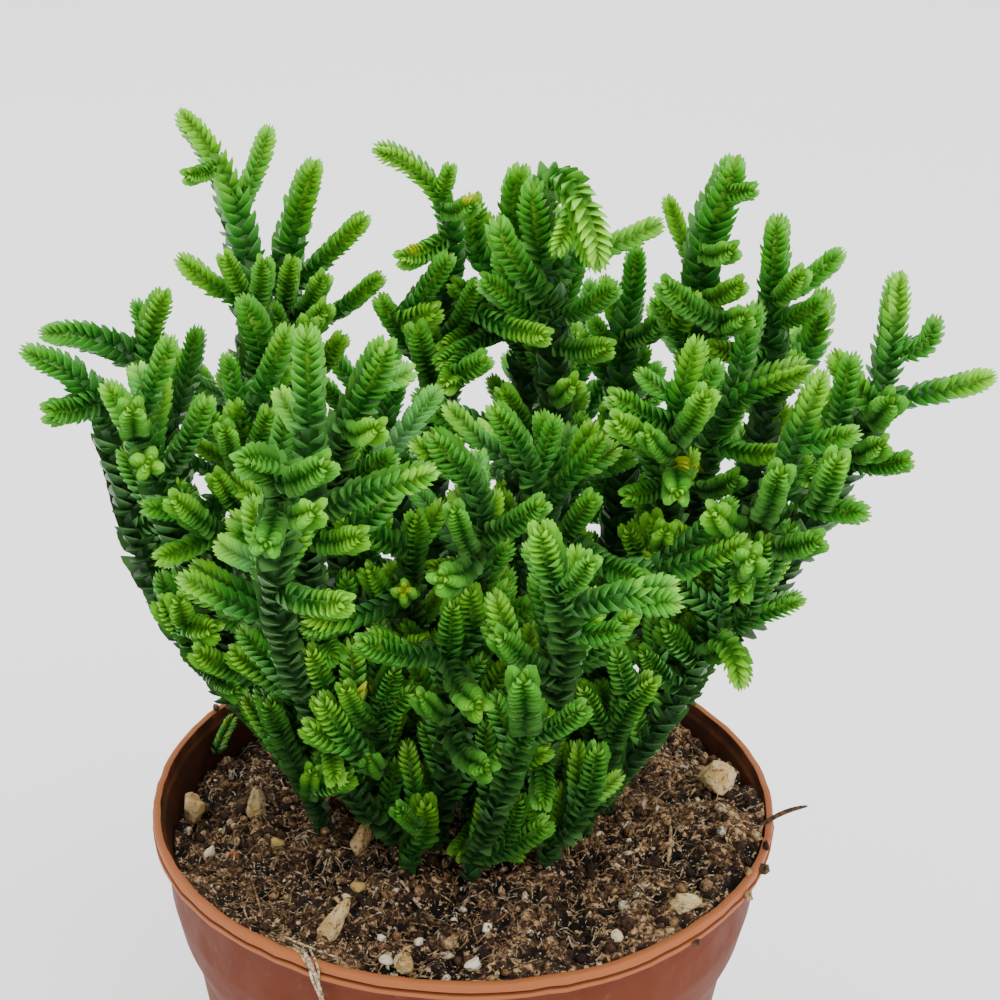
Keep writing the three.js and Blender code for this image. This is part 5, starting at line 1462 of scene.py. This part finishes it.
# Each root on the soil: its line (x, y), its radius and how pale it is. Those over the rim have heights too.
ROOTS = [
    ([(-12.3, -20.2), (-10.2, -22.6), (-7.7, -26), (-5.6, -30.1), (-4.3, -31.6)], 0.26, 0.95),
    ([(-33.3, -21.9), (-31.8, -26.4), (-30.6, -30.3), (-29.8, -33.2)], 0.2, 0.7),
    ([(-29.3, -9.4), (-29.4, -13.6), (-30.5, -17.8)], 0.22, 0.75),
    ([(40.4, 24.8), (42.6, 19), (44.2, 13)], 0.45, 0.45),
    ([(34.5, -9.5), (34, -15), (33.1, -20)], 0.4, 0.8),
    ([(24.4, -18.3), (27, -17.2), (29.4, -15.9)], 0.38, 0.9),
]
OVER_RIM = [
    ([(47.5, -11, 92.6), (50.8, -9.4, 94.5), (54.4, -7.2, 95), (58.2, -4.6, 94.2)], 0.42, 0.42),
    ([(-24.5, -40, 90.8), (-23, -44, 93.2), (-21.2, -47.2, 94.5), (-20.3, -48.9, 93.9), (-19.4, -48.7, 90.5),
      (-18.9, -47.9, 86), (-18.2, -47.5, 80)], 0.3, 0.9),
    ([(-22.6, -41, 91), (-22.2, -44.6, 93.6), (-21.6, -47, 94.5), (-20.8, -48.7, 94), (-20.4, -48.5, 91),
      (-19, -48, 87), (-19.2, -47.3, 82)], 0.24, 0.97),
    ([(-25.4, -41, 91), (-23.8, -44.2, 93.4), (-22, -46.9, 94.4), (-21.2, -48.4, 93.8), (-19.2, -48.9, 91.4),
      (-19.7, -47.9, 88)], 0.22, 0.85),
    ([(-20.6, -40, 91), (-21.4, -44, 93.2), (-20.2, -47.6, 94.5), (-19.2, -49.2, 93.4), (-19.8, -48.4, 89),
      (-18.4, -48, 85)], 0.2, 0.9),
    ([(-26, -39, 91.4), (-23.4, -42, 92.6), (-19.4, -44.4, 92.8), (-16.4, -44.8, 92)], 0.22, 0.9),
]
LITTER_STEPS = 17
LITTER_SIDES = 7
LITTER_CLEAR = 7
LITTER_LIFT = 0.5
LITTER_SEED = 17
GRIT_TILT = 20
GRIT_RISE = 0.25
GRIT_FORM = ([0.9, 0.7, 0.6], [1.2, 1, 0.8])
GRIT_TONES = ((0.0, 60, 30, 14), (0.3, 150, 92, 50), (0.6, 200, 170, 98), (1.0, 232, 222, 200))
GRIT_PIT = (98, 70, 46)
# Each crumb at the rim: its place (x, y, z) and its size.
RIM_CRUMBS = [
    (-46.6, 22.6, 94.3, 1.6), (47.9, -14, 94.2, 2.6), (49.1, -16.8, 94.3, 1.8), (48.2, -21.4, 93.2, 3.0),
    (45.4, -24, 94.2, 1.6), (45, -27.4, 92.2, 2.2), (35.8, -38.5, 91.6, 1.8), (45.6, -12.6, 94, 2.4),
    (44.8, -16.5, 93.6, 2.8), (46, -20, 93, 2.4), (-44.4, 25.8, 94.4, 1.3),
]
SPILL_PALE = (0.1, 0.8)
FALLEN_SHOOT = [(-45.4, 14.5, 89), (-44.8, 18.2, 90.6), (-43, 22, 93.4)]
FALLEN_WIDTH = 3.4
FALLEN_FADED = 0.5
FALLEN_STEPS = 8

litter_rng = np.random.default_rng(LITTER_SEED)
grit_parts = []
for x, y, size, pale in GRIT:
    sizes = size * litter_rng.uniform(*GRIT_FORM)
    turn, tilt = litter_rng.uniform(0, 360), litter_rng.uniform(-GRIT_TILT, GRIT_TILT)
    points, faces = stone_shape(sizes, turn, tilt, litter_rng, GRIT_ROWS, GRIT_COLUMNS)
    grit_parts.append((points + [x, y, soil_height(x, y) + GRIT_RISE * size], faces,
                       {"tint": np.full(len(points), pale)}))


def grit_colour(start):
    """Brown to white stone as the piece's tint says, with brown pits."""
    pits = start.noise(1300, 4, 0.7).fade(0.55, 0.68) * 0.7
    return pits.paint(start.attribute("tint").ramp(*GRIT_TONES), GRIT_PIT)


grit_finish = finish_of("pale_grit", grit_colour, stone_rough, 0.3, stone_bump, 0.0005)
grit = mesh_piece("limestone_grit", grit_finish, *joined(grit_parts))
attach(grit, "root")

litter_lines = []
for corners, radius, _ in ROOTS:
    x, y = evenly(eased(corners, EASE_ROUNDS), LITTER_STEPS).T
    around = np.pad(soil_height(x, y), LITTER_CLEAR // 2, mode="edge")
    clear = np.convolve(around, np.full(LITTER_CLEAR, 1 / LITTER_CLEAR), mode="valid")
    litter_lines.append(np.stack([x, y, clear + radius + LITTER_LIFT], -1))
for corners, *_ in OVER_RIM:
    litter_lines.append(evenly(eased(corners, EASE_ROUNDS), LITTER_STEPS))
_, litter_radii, litter_tint = zip(*ROOTS, *OVER_RIM)
litter_points, litter_faces = strands(litter_lines, litter_radii, LITTER_SIDES)
litter = mesh_piece("dead_roots", crumb_finish, litter_points, litter_faces,
                    {"tint": np.repeat(litter_tint, LITTER_STEPS * LITTER_SIDES)})
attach(litter, "root")

rim_crumbs = np.array(RIM_CRUMBS)
spill_points, spill_faces = blobs(rim_crumbs[:, :3], rim_crumbs[:, 3], litter_rng)
spill_tint = np.repeat(litter_rng.uniform(*SPILL_PALE, len(rim_crumbs)), len(BLOB_POINTS))
spill = mesh_piece("crumbs_at_rim", crumb_finish, spill_points, spill_faces, {"tint": spill_tint})
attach(spill, "root")

fallen_line = evenly(eased(FALLEN_SHOOT, EASE_ROUNDS), FALLEN_STEPS)
fallen_samples = np.concatenate([fallen_line, np.full((FALLEN_STEPS, 1), FALLEN_WIDTH)], 1)
fallen_leaves = leaves_on({"samples": fallen_samples, "parent": 0}, litter_rng)[:3]
fallen_faded = litter_rng.uniform(0, FALLEN_FADED, len(fallen_leaves[0]))
fallen = mesh_piece("fallen_shoot_tip", leaf_skin, *leaf_part(*fallen_leaves, fallen_faded))
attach(fallen, "root")


# The studio: a plain pale floor, large soft lights above the front right, over the plant and behind it, and
# a pale sky all round.

FLOOR_HALF = 6000.0
FLOOR_DROP = 0.2
PAPER, PAPER_LIGHT = (243, 243, 242), (245, 245, 244)
PLANT_MIDDLE = (0, 0, 0.12)
BACKDROP_SPOT = (0.3, 3.2, 0)
# Each lamp: its place and its aim in metres, its size and its power.
LAMPS = (
    ("window", (1.3, -1.7, 2.6), PLANT_MIDDLE, 2.0, 75),
    ("ceiling", (-0.8, 0.5, 2.8), PLANT_MIDDLE, 2.2, 60),
    ("backdrop", (0.3, 3.2, 2.4), BACKDROP_SPOT, 2.4, 50),
)
SKY_COLOUR = (0.97, 0.98, 1.0, 1)
SKY_STRENGTH = 1.4


def floor_colour(start):
    """Near white, hardly uneven."""
    return start.noise(3, 2).paint(PAPER, PAPER_LIGHT)


paper = finish_of("backdrop_paper", floor_colour, grain(5, 2, span=0.1, least=0.85), 0.1)
floor_corners = np.array([(-1, -1, 0), (1, -1, 0), (1, 1, 0), (-1, 1, 0)]) * FLOOR_HALF - [0, 0, FLOOR_DROP]
floor = mesh_piece("floor", paper, floor_corners, [(0, 1, 2), (0, 2, 3)])

for name, place, aim, size, power in LAMPS:
    lamp = bpy.data.lights.new(name, "AREA")
    lamp.size = size
    lamp.energy = power
    light = bpy.data.objects.new(name, lamp)
    bpy.context.scene.collection.objects.link(light)
    away = unit(np.subtract(place, aim))
    across = unit(np.cross([0, 1.0, 0], away))
    turn = np.eye(4)
    turn[:3, 0], turn[:3, 1], turn[:3, 2], turn[:3, 3] = across, np.cross(away, across), away, place
    light.matrix_world = Matrix(turn.tolist())

sky = bpy.data.worlds.new("sky")
bpy.context.scene.world = sky
sky.use_nodes = True
sky.node_tree.nodes["Background"].inputs["Color"].default_value = SKY_COLOUR
sky.node_tree.nodes["Background"].inputs["Strength"].default_value = SKY_STRENGTH

# The camera stands where the layout of the stems is sighted from.
LENS = 57.6
CAMERA_PITCH = math.radians(22.55)
eye_lens = bpy.data.cameras.new("camera")
eye_lens.lens = LENS
eye_lens.sensor_width = 36.0
eye_lens.clip_start = 0.01
camera = bpy.data.objects.new("camera", eye_lens)
bpy.context.scene.collection.objects.link(camera)
turn_down = Matrix.Rotation(math.pi / 2 - CAMERA_PITCH, 4, "X")
to_eye = Matrix.Translation((EYE * MM).tolist())
camera.matrix_world = to_eye @ turn_down @ Matrix.Rotation(-SIGHT_ROLL, 4, "Z")
bpy.context.scene.camera = camera
